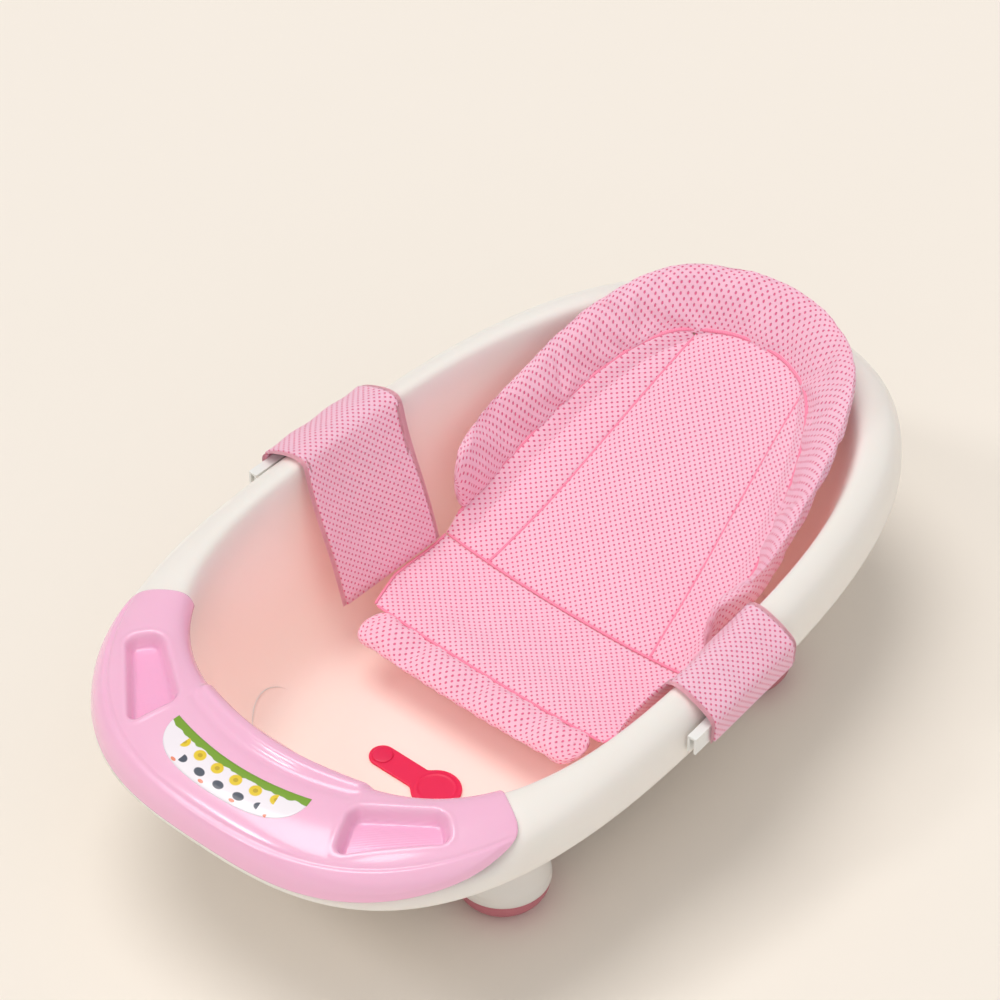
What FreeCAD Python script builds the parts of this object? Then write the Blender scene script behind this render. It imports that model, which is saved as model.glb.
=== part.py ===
"""Baby bathtub: a shell tub on four feet, a soap-dish console, a drain plug and a clip-on bath net.

Millimetres, Z up. The origin is on the ground under the middle of the tub. +X points to the
head end, where the baby leans back, -X to the console, and +Y to the sitting baby's right.
"""
import FreeCAD, Part
import math
import os
from FreeCAD import Vector

# ---- driving dimensions -------------------------------------------------------------------
HALF_LENGTH = 415.0        # centre to the end of the rim
HALF_WIDTH = 243.0         # centre to the outside of the rim, at mid length
RIM_HEIGHT = 215.0         # crest of the rim above the ground
APRON_BOTTOM = 172.0       # lower edge of the turned-down rim
FLOOR_TOP = 34.0           # inside face of the floor
WALL = 2.5                 # moulded wall thickness
SQUARENESS = 2.8           # exponent of the super-ellipse in plan: 2 is an ellipse
TAPER = -0.21e-3           # width gained per millimetre towards the foot end
POLES_ROUND = 96           # spline poles round the tub
LIP_RING = 4               # the ring that the console's inside lip starts from
CREST_RINGS = 6            # rings from the floor's edge to the inside of the rim's crest

CONSOLE_GAP = 0.8          # clearance between console and shell
CONSOLE_POLES = 14         # spline poles of its blank on either side of the foot end
CONSOLE_WALL = 2.2
CONSOLE_INNER_LIP = 199.0  # the console ends this high on the inside wall
DECK_DROP = 23.0           # how far the shell's deck is sunk under the console
DROP_START, DROP_LENGTH = -252.0, 36.0
DISH_FLOOR = 201.0
DISH_CORNER = 9.0
DISH_WALL = 2.0
LABEL_THICKNESS = 0.4
SEAT_TOP, SEAT_BOTTOM = 195.5, 189.5   # the screws' pads on the shell's sunk deck

FOOT_PLACES = {"front": (-170.0, 127.0), "rear": (179.0, 121.0)}
FOOT_RADIUS = 42.5
FOOT_SPLIT = 24.0          # the white leg ends here and the pad begins
FOOT_SOLE = 28.0           # radius of the flat sole
LEG_WALL = 2.5
LEG_STRAIGHT, LEG_HEIGHT = 9.0, 96.0   # the leg leans inwards above its straight part
SCREW_X, SCREW_Y = -358.0, (-84.0, -32.0, 32.0, 84.0)
SCREW_RADIUS, SCREW_HEAD = 1.45, 3.6

DRAIN = (-141.0, -25.0)    # centre of the drain hole
DRAIN_RADIUS = 15.0
RIVET = (-141.0, 38.0)
RIVET_SHAFT, RIVET_HEAD = 3.0, 9.5
LID_RADIUS = 23.0
STOPPER_DEPTH = 6.5
STRAP_WIDTH = 25.0
STRAP_THICKNESS = 2.6
STRAP_BOTTOM = FLOOR_TOP + 0.25
FLEX_LINE = 25.0           # y of the line where the plug's strap bends
FLEX_GAP = 0.15

NET = 3.2                  # thickness of the air-mesh cloth
SEAT_FRONT, SEAT_REAR = -42.0, 70.0
NET_HALF_WIDTH = 148.0     # widest seam between the seat or back and the collar
COLLAR_APEX = 349.0        # x of the collar's inner seam at the head
COLLAR_SQUARENESS = 2.4
COLLAR_START = 84.0        # x where both ends of the collar begin
SEAM_LIFT = 9.0            # the collar's seam stands this far above the net's side edge
COLLAR_HALF_WIDE, COLLAR_HALF_THICK = 31.5, 10.0
FRONT_ROLL_X, FRONT_ROLL_HALF = -62.0, 128.0
FRONT_HALF_WIDE, FRONT_HALF_THICK = 21.0, 10.0
COVER = 1.6                # thickness of the rolls' covers
FOAM_PLAY = COVER + 0.9    # from the outside of a cover to its foam
PANEL_FOOT, PANEL_HEAD = 95.0, 62.0    # half width of the back panel at its two ends

FLAP_FRONT, FLAP_REAR = -50.0, 75.0    # the flap's two edges where it crosses the rim
FLAP_LEAN = -14.0          # how far the edges lean to the foot end at the seat
BINDING = 8.0              # width of the tape on the flap's edges
BAR_HEIGHT, BAR_THICKNESS, BAR_WALL = 18.0, 9.0, 2.2
BAR_TOP = 199.0
BAR_GAP = 1.2              # between the apron and the hook bar
BAR_OVERHANG = 20.0        # the bar sticks out of the hem towards the foot end
TAB_WIDTH, TAB_REACH, TAB_PLATE = 14.0, 6.0, 2.2
HEM = 2.5

# Rings of spline poles, from the floor's edge over the rim to the apron's lower edge:
# (reach to the foot end, reach to the head end, half width, height)
SHELL_RINGS = [
    (236.0, 150.0, 130.0, FLOOR_TOP),
    (250.0, 168.0, 144.0, FLOOR_TOP),
    (270.0, 198.0, 163.0, FLOOR_TOP + 7.0),
    (291.0, 268.0, 184.0, 95.0),
    (303.0, 333.0, 200.0, 165.0),
    (307.0, 356.0, 206.0, 199.0),
    (313.0, 365.0, 210.0, 217.5),
    (340.0, 381.0, 219.0, 218.5),
    (374.0, 400.0, 230.0, 214.5),
    (403.0, 411.0, 239.5, 206.0),
    (413.0, HALF_LENGTH, HALF_WIDTH, 190.0),
    (HALF_LENGTH, HALF_LENGTH, HALF_WIDTH + 1.0, APRON_BOTTOM),
]
# How much of DECK_DROP each ring takes at the foot end
DROP_SHARE = [0.0, 0.0, 0.0, 0.0, 0.0, 0.5, 0.95, 1.0, 0.95, 0.65, 0.2, 0.0]


# ---- spline helpers ------------------------------------------------------------------------
def smooth(t):
    """0 before t = 0, 1 after t = 1, with an S-shaped step between."""
    t = min(1.0, max(0.0, t))
    return t * t * (3.0 - 2.0 * t)


def outline_point(ring, angle):
    """Point of a super-ellipse ring at a polar angle; the width grows towards the foot."""
    foot, head, half_width, height = ring
    c, s = math.cos(angle), math.sin(angle)
    reach = head if c > 0 else foot
    radius = (abs(c / reach) ** SQUARENESS + abs(s / half_width) ** SQUARENESS) ** (-1.0 / SQUARENESS)
    return Vector(radius * c, radius * s * (1.0 + TAPER * radius * c), height)


def ring_net(first, last, angles, dropped):
    """Pole net: one row per angle, one column per shell ring."""
    net = []
    for angle in angles:
        row = []
        for ring, share in zip(SHELL_RINGS[first:last], DROP_SHARE[first:last]):
            point = outline_point(ring, angle)
            if dropped:
                point.z -= DECK_DROP * share * smooth((DROP_START - point.x) / DROP_LENGTH)
            row.append(point)
        net.append(row)
    return net


def offset_net(net, distance, closed=False):
    """Move each pole along the net's normal."""
    rows, columns = len(net), len(net[0])
    moved = []
    for i in range(rows):
        row = []
        for j in range(columns):
            if closed:
                along = net[(i + 1) % rows][j] - net[i - 1][j]
            else:
                along = net[min(i + 1, rows - 1)][j] - net[max(i - 1, 0)][j]
            across = net[i][min(j + 1, columns - 1)] - net[i][max(j - 1, 0)]
            row.append(net[i][j] + across.cross(along).normalize() * distance)
        moved.append(row)
    return moved


def clamped(count):
    return [4] + [1] * (count - 4) + [4], [float(k) for k in range(count - 2)]


def skin(net, closed=False):
    """Cubic spline surface over a pole net, periodic along its rows when closed."""
    surface = Part.BSplineSurface()
    v_mults, v_knots = clamped(len(net[0]))
    if closed:
        u_mults, u_knots = [1] * (len(net) + 1), [float(k) for k in range(len(net) + 1)]
    else:
        u_mults, u_knots = clamped(len(net))
    surface.buildFromPolesMultsKnots(net, u_mults, v_mults, u_knots, v_knots, closed, False, 3, 3)
    return surface


def solid_of(faces):
    shell = Part.makeShell(faces)
    shell.sewShape()
    solid = Part.Solid(shell)
    if solid.Volume < 0:
        solid.reverse()
    return solid


def flat_cap(edge):
    return Part.Face(Part.Wire([edge]))


def slab(net, lower, upper):
    """Solid between two offsets of an open net, with ruled edges."""
    low, high = skin(offset_net(net, lower)), skin(offset_net(net, upper))
    u0, u1, v0, v1 = low.bounds()
    faces = [low.toShape(), high.toShape()]
    for value in (u0, u1):
        faces.append(Part.makeRuledSurface(low.uIso(value).toShape(), high.uIso(value).toShape()))
    for value in (v0, v1):
        faces.append(Part.makeRuledSurface(low.vIso(value).toShape(), high.vIso(value).toShape()))
    return solid_of(faces)


def tube(net):
    """Solid inside a net that is closed along its rows and capped flat at both ends."""
    surface = skin(net, closed=True)
    v0, v1 = surface.bounds()[2:]
    ends = [flat_cap(surface.vIso(value).toShape()) for value in (v0, v1)]
    return solid_of([surface.toShape()] + ends)


def prism(points, bottom, top):
    """Upright prism on a polygon given as (x, y) points."""
    corners = [Vector(x, y, bottom) for x, y in points]
    return Part.Face(Part.makePolygon(corners + corners[:1])).extrude(Vector(0, 0, top - bottom))


def cylinder(radius, bottom, top, x=0.0, y=0.0):
    return Part.makeCylinder(radius, top - bottom, Vector(x, y, bottom))


def box(low, high):
    return Part.makeBox(high[0] - low[0], high[1] - low[1], high[2] - low[2], Vector(*low))


def mirrored(shape):
    return shape.mirror(Vector(0, 0, 0), Vector(0, 1, 0))


# ---- tub shell -----------------------------------------------------------------------------
def shell_net():
    angles = [2.0 * math.pi * k / POLES_ROUND for k in range(POLES_ROUND)]
    return ring_net(0, len(SHELL_RINGS), angles, dropped=True)


def bowl_wall(net):
    """The shell's own wall: two skins, two flat floors and the apron's lip."""
    inside, outside = skin(net, closed=True), skin(offset_net(net, -WALL, closed=True), closed=True)
    v0, v1 = inside.bounds()[2:]
    faces = [inside.toShape(), outside.toShape()]
    faces += [flat_cap(side.vIso(v0).toShape()) for side in (inside, outside)]
    faces.append(Part.makeRuledSurface(inside.vIso(v1).toShape(), outside.vIso(v1).toShape()))
    return solid_of(faces)


def bowl_filling(net):
    """Everything above the middle of the wall, up to the rings' highest level on the inside."""
    inside = [row[:CREST_RINGS] for row in net]
    middle = skin(offset_net(inside, -0.5 * WALL, closed=True), closed=True)
    v0, v1 = middle.bounds()[2:]
    floor = flat_cap(middle.vIso(v0).toShape())
    rim_edge = middle.vIso(v1).toShape()
    peak = Vector(0, 0, RIM_HEIGHT + 100.0)
    lid = Part.makeLoft([Part.Wire([rim_edge]), Part.Vertex(peak)], False)
    return solid_of([middle.toShape(), floor] + lid.Faces)


def leg(x, y):
    """Hollow leg that leans inwards as it rises, so that it melts into the side wall."""
    def tube_ring(cx, cy, z, radius):
        return Part.Wire([Part.Circle(Vector(cx, cy, z), Vector(0, 0, 1), radius).toShape()])

    def cone(shrink):
        radius = FOOT_RADIUS - shrink
        rings = [tube_ring(x, y, FOOT_SPLIT, radius), tube_ring(x, y, FOOT_SPLIT + LEG_STRAIGHT, radius),
                 tube_ring(0.88 * x, 0.76 * y, FOOT_SPLIT + LEG_HEIGHT, radius - 4.0)]
        return Part.makeLoft(rings, True, True)
    return cone(0.0).cut(cone(LEG_WALL))


def screw_places():
    return [(SCREW_X, y) for y in SCREW_Y]


def tub_shell():
    net = shell_net()
    shell = bowl_wall(net)
    filling = bowl_filling(net)
    for x, y in FOOT_PLACES.values():
        for side in (-1.0, 1.0):
            shell = shell.fuse(leg(x, side * y).cut(filling))
    for x, y in screw_places():
        shell = shell.fuse(cylinder(7.0, SEAT_BOTTOM, SEAT_TOP, x, y))
        shell = shell.cut(cylinder(1.9, SEAT_BOTTOM - 5.0, SEAT_TOP + 5.0, x, y))
    shell = shell.cut(cylinder(DRAIN_RADIUS, FLOOR_TOP - 10.0, FLOOR_TOP + 10.0, *DRAIN))
    return shell.cut(cylinder(RIVET_SHAFT, FLOOR_TOP - 10.0, FLOOR_TOP + 10.0, *RIVET))


# ---- console -------------------------------------------------------------------------------
# Plan of a soap dish's pocket on the +Y side
DISH = [(-334.0, 102.0), (-374.0, 121.0), (-304.0, 182.0), (-291.0, 161.0)]


def console_block(distance):
    """The space under the rim's unsunk skin, moved outwards, at the foot end.

    Its poles stand at the shell's own angles, so that the two skins run parallel.
    """
    steps = range(-CONSOLE_POLES, CONSOLE_POLES + 1)
    angles = [math.pi + 2.0 * math.pi * k / POLES_ROUND for k in steps]
    net = offset_net(ring_net(LIP_RING, len(SHELL_RINGS), angles, dropped=False), distance)
    surface = skin(net)
    u0, u1, v0, v1 = surface.bounds()
    faces = [surface.toShape()]
    deep = 150.0
    for edge in (surface.vIso(v0), surface.vIso(v1), surface.uIso(u0), surface.uIso(u1)):
        line = edge.toShape()
        flat = line.toNurbs().Edges[0].Curve.copy()
        for k, pole in enumerate(flat.getPoles()):
            flat.setPole(k + 1, Vector(pole.x, pole.y, deep))
        faces.append(Part.makeRuledSurface(line, flat.toShape()))
    bottom_edges = [face.Edges for face in faces[1:]]
    ring = [edge for edges in bottom_edges for edge in edges
            if all(abs(v.Point.z - deep) < 1e-6 for v in edge.Vertexes)]
    faces.append(Part.Face(Part.Wire(Part.sortEdges(ring)[0])))
    return solid_of(faces)


def console_trim():
    """The console's ends cross the rim squarely and sweep back along the apron."""
    sweep = [(-233.0, 240.0), (-237.0, 217.0), (-249.0, 203.0), (-275.0, 192.0), (-315.0, 185.0),
             (-360.0, 182.0), (-440.0, 181.0)]
    curve = Part.BSplineCurve()
    curve.interpolate([Vector(x, -300.0, z) for x, z in sweep])
    top = [Vector(-440.0, -300.0, 181.0), Vector(-440.0, -300.0, 240.0), Vector(-233.0, -300.0, 240.0)]
    wire = Part.Wire([curve.toShape()] + Part.makePolygon(top).Edges)
    side_view = Part.Face(wire).extrude(Vector(0, 600.0, 0))
    plan = [(-235.0, -176.0), (-235.0, 176.0), (-297.0, 260.0), (-440.0, 260.0),
            (-440.0, -260.0), (-297.0, -260.0)]
    return side_view.common(prism(plan, 100.0, 300.0))


def grown(points, distance):
    """Polygon with each corner moved away from the centre by about the distance."""
    cx = sum(p[0] for p in points) / len(points)
    cy = sum(p[1] for p in points) / len(points)
    moved = []
    for x, y in points:
        length = math.hypot(x - cx, y - cy)
        scale = (length + 1.3 * distance) / length
        moved.append((cx + (x - cx) * scale, cy + (y - cy) * scale))
    return moved


def rounded_prism(points, bottom, top, radius):
    shape = prism(points, bottom, top)
    upright = [e for e in shape.Edges if abs(e.Vertexes[0].Z - e.Vertexes[-1].Z) > 1.0]
    return shape.makeFillet(radius, upright)


def console_ridge():
    """Raised lip along the inner edge, between the two dishes."""
    centre_x, inner, outer = -96.0, 222.0, 236.0
    half_angle = math.asin(100.0 / inner)
    arcs = []
    for radius, sense in ((inner, 1.0), (outer, -1.0)):
        steps = [sense * half_angle, 0.0, -sense * half_angle]
        points = [Vector(centre_x - radius * math.cos(a), radius * math.sin(a), 205.0) for a in steps]
        arcs.append(Part.Arc(*points).toShape())
    ends = [Part.makeLine(arcs[0].Vertexes[1].Point, arcs[1].Vertexes[0].Point),
            Part.makeLine(arcs[1].Vertexes[1].Point, arcs[0].Vertexes[0].Point)]
    ridge = Part.Face(Part.Wire([arcs[0], ends[0], arcs[1], ends[1]])).extrude(Vector(0, 0, 19.5))
    tops = [e for e in ridge.Edges if all(v.Z > 220.0 for v in e.Vertexes)]
    return ridge.makeFillet(4.0, tops)


def foot_console():
    upper, lower = console_block(CONSOLE_GAP + CONSOLE_WALL), console_block(CONSOLE_GAP)
    trim = console_trim()
    console = upper.cut(lower).common(trim)
    inside_wall = [tuple(outline_point((330.0, 380.0, 219.0, 0.0), math.radians(a)))[:2]
                   for a in range(120, 241, 4)]
    console = console.cut(prism(inside_wall, 140.0, CONSOLE_INNER_LIP))
    console = console.fuse(console_ridge().common(upper.fuse(console_ridge())).cut(lower))
    for x, y in screw_places():
        console = console.fuse(cylinder(4.5, SEAT_TOP + 0.1, RIM_HEIGHT + 10.0, x, y).common(upper))
    for side in (1.0, -1.0):
        pocket = [(x, side * y) for x, y in DISH]
        cup = rounded_prism(grown(pocket, DISH_WALL), DISH_FLOOR - DISH_WALL, RIM_HEIGHT + 10.0,
                            DISH_CORNER + DISH_WALL)
        console = console.fuse(cup.common(upper))
        console = console.cut(rounded_prism(pocket, DISH_FLOOR, RIM_HEIGHT + 20.0, DISH_CORNER))
    for x, y in screw_places():
        console = console.cut(cylinder(1.5, SEAT_TOP - 1.0, RIM_HEIGHT - 5.0, x, y))
    return console


def temperature_label():
    """Arc-shaped sheet stuck on the console between the dishes."""
    centre, inner, outer, half_angle = (-120.0, 8.0), 233.0, 261.0, math.radians(17.0)
    points = []
    for radius, sense in ((inner, 1.0), (outer, -1.0)):
        for step in range(-6, 7):
            a = math.pi + sense * half_angle * step / 6.0
            points.append((centre[0] + radius * math.cos(a), centre[1] + radius * math.sin(a)))
    top = CONSOLE_GAP + CONSOLE_WALL
    sheet = console_block(top + LABEL_THICKNESS).cut(console_block(top))
    return prism(points, 190.0, 240.0).common(sheet)


def console_screws():
    """Four self-tapping screws, driven from below."""
    screws = []
    for x, y in screw_places():
        head = cylinder(SCREW_HEAD, SEAT_BOTTOM - 2.2, SEAT_BOTTOM, x, y)
        screws.append(head.fuse(cylinder(SCREW_RADIUS, SEAT_BOTTOM - 1.0, SEAT_BOTTOM + 14.0, x, y)))
    return Part.makeCompound(screws)


# ---- feet ----------------------------------------------------------------------------------
def foot_pad(x, y):
    """Rubber cup pushed into the hollow leg, with a bowl-shaped underside and a flat sole."""
    plug_radius = FOOT_RADIUS - LEG_WALL - 0.2
    plug_top = FLOOR_TOP - WALL - 0.8
    bowl = Part.Arc(Vector(FOOT_SOLE, 0, 0), Vector(38.4, 0, 8.5), Vector(FOOT_RADIUS, 0, FOOT_SPLIT - 3.0))
    corners = [(FOOT_RADIUS, FOOT_SPLIT - 3.0), (FOOT_RADIUS, FOOT_SPLIT), (plug_radius, FOOT_SPLIT),
               (plug_radius, plug_top), (plug_radius - 3.0, plug_top), (plug_radius - 3.0, 10.0),
               (0.0, 6.0), (0.0, 0.0), (FOOT_SOLE, 0.0)]
    line = Part.makePolygon([Vector(r, 0, z) for r, z in corners])
    pad = Part.Face(Part.Wire([bowl.toShape()] + line.Edges))
    pad = pad.revolve(Vector(0, 0, 0), Vector(0, 0, 1), 360.0)
    pad.translate(Vector(x, y, 0))
    return pad


# ---- drain plug ----------------------------------------------------------------------------
def strap(y_low, y_high, low_disc, high_disc):
    """Flat silicone strap between two values of y; an end with a disc radius is rounded by a disc."""
    half = 0.5 * STRAP_WIDTH
    top = STRAP_BOTTOM + STRAP_THICKNESS
    shape = box((DRAIN[0] - half, y_low, STRAP_BOTTOM), (DRAIN[0] + half, y_high, top))
    if low_disc:
        shape = shape.fuse(cylinder(low_disc, STRAP_BOTTOM, top, DRAIN[0], y_low))
    if high_disc:
        shape = shape.fuse(cylinder(high_disc, STRAP_BOTTOM, top, DRAIN[0], y_high))
    return shape


def drain_plug():
    """The lid over the drain, its hollow stopper and the moving part of the strap."""
    lid = strap(DRAIN[1], FLEX_LINE - FLEX_GAP, LID_RADIUS, None)
    base = Vector(DRAIN[0], DRAIN[1], STRAP_BOTTOM - STOPPER_DEPTH)
    stopper = Part.makeCone(DRAIN_RADIUS - 1.6, DRAIN_RADIUS - 0.4, STOPPER_DEPTH, base)
    stopper = stopper.cut(Part.makeCone(DRAIN_RADIUS - 4.6, DRAIN_RADIUS - 3.4, STOPPER_DEPTH, base))
    return lid.fuse(stopper)


def plug_anchor():
    """The fixed end of the strap, under the rivet's head."""
    end = strap(FLEX_LINE + FLEX_GAP, RIVET[1], None, 0.5 * STRAP_WIDTH)
    return end.cut(cylinder(RIVET_SHAFT + 0.1, 20.0, 40.0, *RIVET))


def plug_rivet():
    top = STRAP_BOTTOM + STRAP_THICKNESS
    head = cylinder(RIVET_HEAD, top, top + 1.2, *RIVET)
    rivet = head.fuse(cylinder(RIVET_SHAFT - 0.05, FLOOR_TOP - WALL - 3.0, top, *RIVET))
    return rivet.fuse(cylinder(RIVET_SHAFT + 2.0, FLOOR_TOP - WALL - 3.0, FLOOR_TOP - WALL, *RIVET))


# ---- bath net ------------------------------------------------------------------------------
# Height of the net along the middle of the tub and along its side seams, as (x, height)
MIDDLE_LINE = [(-82.0, 77.0), (-42.0, 84.0), (10.0, 77.0), (70.0, 79.0), (130.0, 100.0),
               (210.0, 141.0), (290.0, 182.0), (350.0, 212.0)]
SIDE_LINE = [(-82.0, 86.0), (-42.0, 89.0), (10.0, 87.0), (70.0, 89.0), (100.0, 102.0), (130.0, 114.0),
             (165.0, 130.0), (210.0, 154.0), (250.0, 176.0), (290.0, 194.0), (350.0, 212.0)]


def along(points, x):
    """Value at x between (x, value) points; the splines over it round its corners off."""
    for (x0, a), (x1, b) in zip(points, points[1:]):
        if x <= x1:
            break
    t = min(1.0, max(0.0, (x - x0) / (x1 - x0)))
    return a + (b - a) * t


def round_off(ratio):
    """Other coordinate of a unit super-ellipse, as round as the collar."""
    return (1.0 - min(1.0, ratio) ** COLLAR_SQUARENESS) ** (1.0 / COLLAR_SQUARENESS)


def seam_half_width(x):
    """Half width of the net inside the collar's seam."""
    if x <= 0.0:
        return NET_HALF_WIDTH + 0.3 * x
    return NET_HALF_WIDTH * round_off(x / COLLAR_APEX)


def net_point(x, y):
    """Point of the hanging net: low in the middle, rising to its side seams."""
    share = min(1.0, abs(y) / max(seam_half_width(x), 1.0))
    middle, side = along(MIDDLE_LINE, x), along(SIDE_LINE, x)
    return Vector(x, y, middle + (side - middle) * share ** 2.2)


def net_panel(rows, columns, place):
    """Cloth slab whose poles come from place(u, v), with u and v from 0 to 1."""
    net = [[place(i / (rows - 1), j / (columns - 1)) for j in range(columns)] for i in range(rows)]
    return slab(net, -0.5 * NET, 0.5 * NET)


def seat_panel():
    def place(u, v):
        x = SEAT_FRONT + 2.0 + (SEAT_REAR - SEAT_FRONT - 3.0) * v
        return net_point(x, (2.0 * u - 1.0) * (seam_half_width(x) - 3.0))
    return net_panel(15, 8, place)


def panel_edge(v):
    return PANEL_FOOT + (PANEL_HEAD - PANEL_FOOT) * v


def back_panel():
    """Centre of the backrest, between its two long seams."""
    def place(u, v):
        y = (2.0 * u - 1.0) * (panel_edge(v) - 1.0)
        head = COLLAR_APEX * round_off(abs(y) / NET_HALF_WIDTH) - 4.0
        return net_point(SEAT_REAR + 2.0 + (head - SEAT_REAR - 2.0) * v, y)
    return net_panel(11, 14, place)


def back_gore(side):
    """Side of the backrest, from the long seam out to the collar."""
    def place(u, v):
        x = SEAT_REAR + 2.0 + (COLLAR_APEX * 0.9 - SEAT_REAR) * v
        inner, outer = panel_edge(v) + 1.0, seam_half_width(x) - 3.0
        y = inner + (max(outer, inner + 6.0) - inner) * u
        return net_point(x, side * y)
    return net_panel(7, 12, place)


def roll(stations, half_wide, half_thick):
    """Padded roll through (centre, across, up) stations: a flattened round section."""
    count = 16
    net = []
    for k in range(count):
        a = 2.0 * math.pi * k / count
        net.append([c + across * (half_wide * math.cos(a)) + up * (half_thick * math.sin(a))
                    for c, across, up in stations])
    return tube(net)


def collar_ring(apex, half_width, angle, height):
    """Point of one of the collar's two long edges; angle 0 is the head."""
    power = 2.0 / COLLAR_SQUARENESS
    y = half_width * math.copysign(abs(math.sin(angle)) ** power, angle)
    return Vector(apex * math.cos(angle) ** power, y, height)


def collar_stations(inset):
    """The collar stands on its inner seam: it leans over the rim at the head, upright at its ends."""
    steps = 26
    end = math.acos((COLLAR_START / COLLAR_APEX) ** (0.5 * COLLAR_SQUARENESS)) - inset
    edges = []
    for k in range(steps + 1):
        angle = end * (2.0 * k / steps - 1.0)
        lift = smooth((math.cos(angle) - 0.15) / 0.85)
        inner = collar_ring(COLLAR_APEX, NET_HALF_WIDTH - 3.0, angle, 0.0)
        inner.z = along(SIDE_LINE, inner.x) + SEAM_LIFT * smooth((COLLAR_APEX - inner.x) / 40.0)
        over_rim = collar_ring(385.0, 187.0, angle, 210.0 + 44.0 * lift)
        upright = inner + Vector(2.0, math.copysign(8.0, angle), 52.0)
        turned = smooth((150.0 - inner.x) / 60.0)
        edges.append((inner, over_rim * (1.0 - turned) + upright * turned))
    middles = [inner + (outer - inner).normalize() * (COLLAR_HALF_WIDE - 3.0) for inner, outer in edges]
    stations = []
    for k, (inner, outer) in enumerate(edges):
        across = (outer - inner).normalize()
        tangent = middles[min(k + 1, steps)] - middles[max(k - 1, 0)]
        stations.append((middles[k], across, across.cross(tangent).normalize()))
    return stations


def head_bolster():
    outside = roll(collar_stations(0.0), COLLAR_HALF_WIDE, COLLAR_HALF_THICK)
    return outside.cut(roll(collar_stations(0.02), COLLAR_HALF_WIDE - COVER, COLLAR_HALF_THICK - COVER))


def head_bolster_foam():
    return roll(collar_stations(0.03), COLLAR_HALF_WIDE - FOAM_PLAY, COLLAR_HALF_THICK - FOAM_PLAY)


def front_stations(trim):
    stations = []
    steps = 12
    for k in range(steps + 1):
        t = 2.0 * k / steps - 1.0
        y = t * (FRONT_ROLL_HALF - trim)
        middle = net_point(FRONT_ROLL_X, y)
        slope = Vector(0, 1.0, 0.45 * t).normalize()
        up = Vector(1, 0, 0).cross(slope).normalize()
        stations.append((middle, Vector(1, 0, 0), up))
    return stations


def front_bolster():
    outside = roll(front_stations(0.0), FRONT_HALF_WIDE, FRONT_HALF_THICK)
    return outside.cut(roll(front_stations(3.0), FRONT_HALF_WIDE - COVER, FRONT_HALF_THICK - COVER))


def front_bolster_foam():
    return roll(front_stations(4.0), FRONT_HALF_WIDE - FOAM_PLAY, FRONT_HALF_THICK - FOAM_PLAY)


# ---- side flaps and their hook bars --------------------------------------------------------
RIM_AT_FLAP = HALF_WIDTH * (1.0 + TAPER * 0.5 * (FLAP_FRONT + FLAP_REAR)) + 0.6
RIM_SLOPE = HALF_WIDTH * TAPER         # how the rim's side closes in towards the head
# The flap's section from the seat's edge over the rim: (distance outside the apron, height)
FLAP_SECTION = [(-92.0, 98.0), (-84.0, 136.0), (-63.0, 177.0), (-46.0, 209.0), (-38.0, 223.0),
                (-24.0, 223.5), (-11.0, 219.0), (2.0, 212.5), (9.5, 206.8)]


def flap_spot(x, outside, height):
    middle = 0.5 * (FLAP_FRONT + FLAP_REAR)
    return Vector(x, RIM_AT_FLAP + RIM_SLOPE * (x - middle) + outside, height)


def flap_band(low, high, thickness):
    """Part of the flap between two shares of its width."""
    rows = 6
    net = []
    for i in range(rows):
        share = low + (high - low) * i / (rows - 1)
        row = []
        for j, (outside, height) in enumerate(FLAP_SECTION):
            lean = FLAP_LEAN * (1.0 - smooth(j / 4.0))
            x = FLAP_FRONT + (FLAP_REAR - FLAP_FRONT) * share + lean
            row.append(flap_spot(x, outside, height))
        net.append(row)
    return slab(net, -0.5 * thickness, 0.5 * thickness)


def flap():
    width = FLAP_REAR - FLAP_FRONT
    edge = BINDING / width
    return flap_band(edge, 1.0 - edge, NET)


def flap_binding(front):
    edge = BINDING / (FLAP_REAR - FLAP_FRONT)
    if front:
        return flap_band(0.0, edge - 0.002, NET + 0.6)
    return flap_band(1.0 - edge + 0.002, 1.0, NET + 0.6)


def beside_rim(low, high):
    """Box given as (x, distance outside the apron, height), turned to follow the rim's side."""
    shape = box(low, high)
    shape.rotate(Vector(0, 0, 0), Vector(0, 0, 1), math.degrees(math.atan(RIM_SLOPE)))
    middle = 0.5 * (FLAP_FRONT + FLAP_REAR)
    shape.translate(Vector(middle, RIM_AT_FLAP, 0))
    return shape


def hook_bar():
    """White channel in the flap's hem, with three flat tabs that catch under the apron."""
    half = 0.5 * (FLAP_REAR - FLAP_FRONT)
    near, far = BAR_GAP, BAR_GAP + BAR_THICKNESS
    low_z = BAR_TOP - BAR_HEIGHT
    start, end = -half - BAR_OVERHANG, half - 3.0
    bar = beside_rim((start, near, low_z), (end, far, BAR_TOP))
    bar = bar.cut(beside_rim((start - 1.0, near + BAR_WALL, low_z - 1.0),
                             (end + 1.0, far - BAR_WALL, BAR_TOP - BAR_WALL)))
    under = APRON_BOTTOM - 0.5
    for place in (-0.72, 0.0, 0.72):
        x = place * half
        left, right = x - 0.5 * TAB_WIDTH, x + 0.5 * TAB_WIDTH
        bar = bar.fuse(beside_rim((left, near, under - TAB_PLATE), (right, near + BAR_WALL, low_z + 2.0)))
        bar = bar.fuse(beside_rim((left, -TAB_REACH, under - TAB_PLATE), (right, near + 1.0, under)))
    return bar


def flap_tail():
    """The hem: cloth over the top and the outside of the hook bar."""
    half = 0.5 * (FLAP_REAR - FLAP_FRONT)
    far = BAR_GAP + BAR_THICKNESS + 0.2
    top = BAR_TOP + 0.2
    hem = beside_rim((-half, far, BAR_TOP - BAR_HEIGHT - 1.0), (half, far + HEM, top + HEM))
    return hem.fuse(beside_rim((-half, BAR_GAP, top), (half, far + 1.0, top + HEM)))


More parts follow.
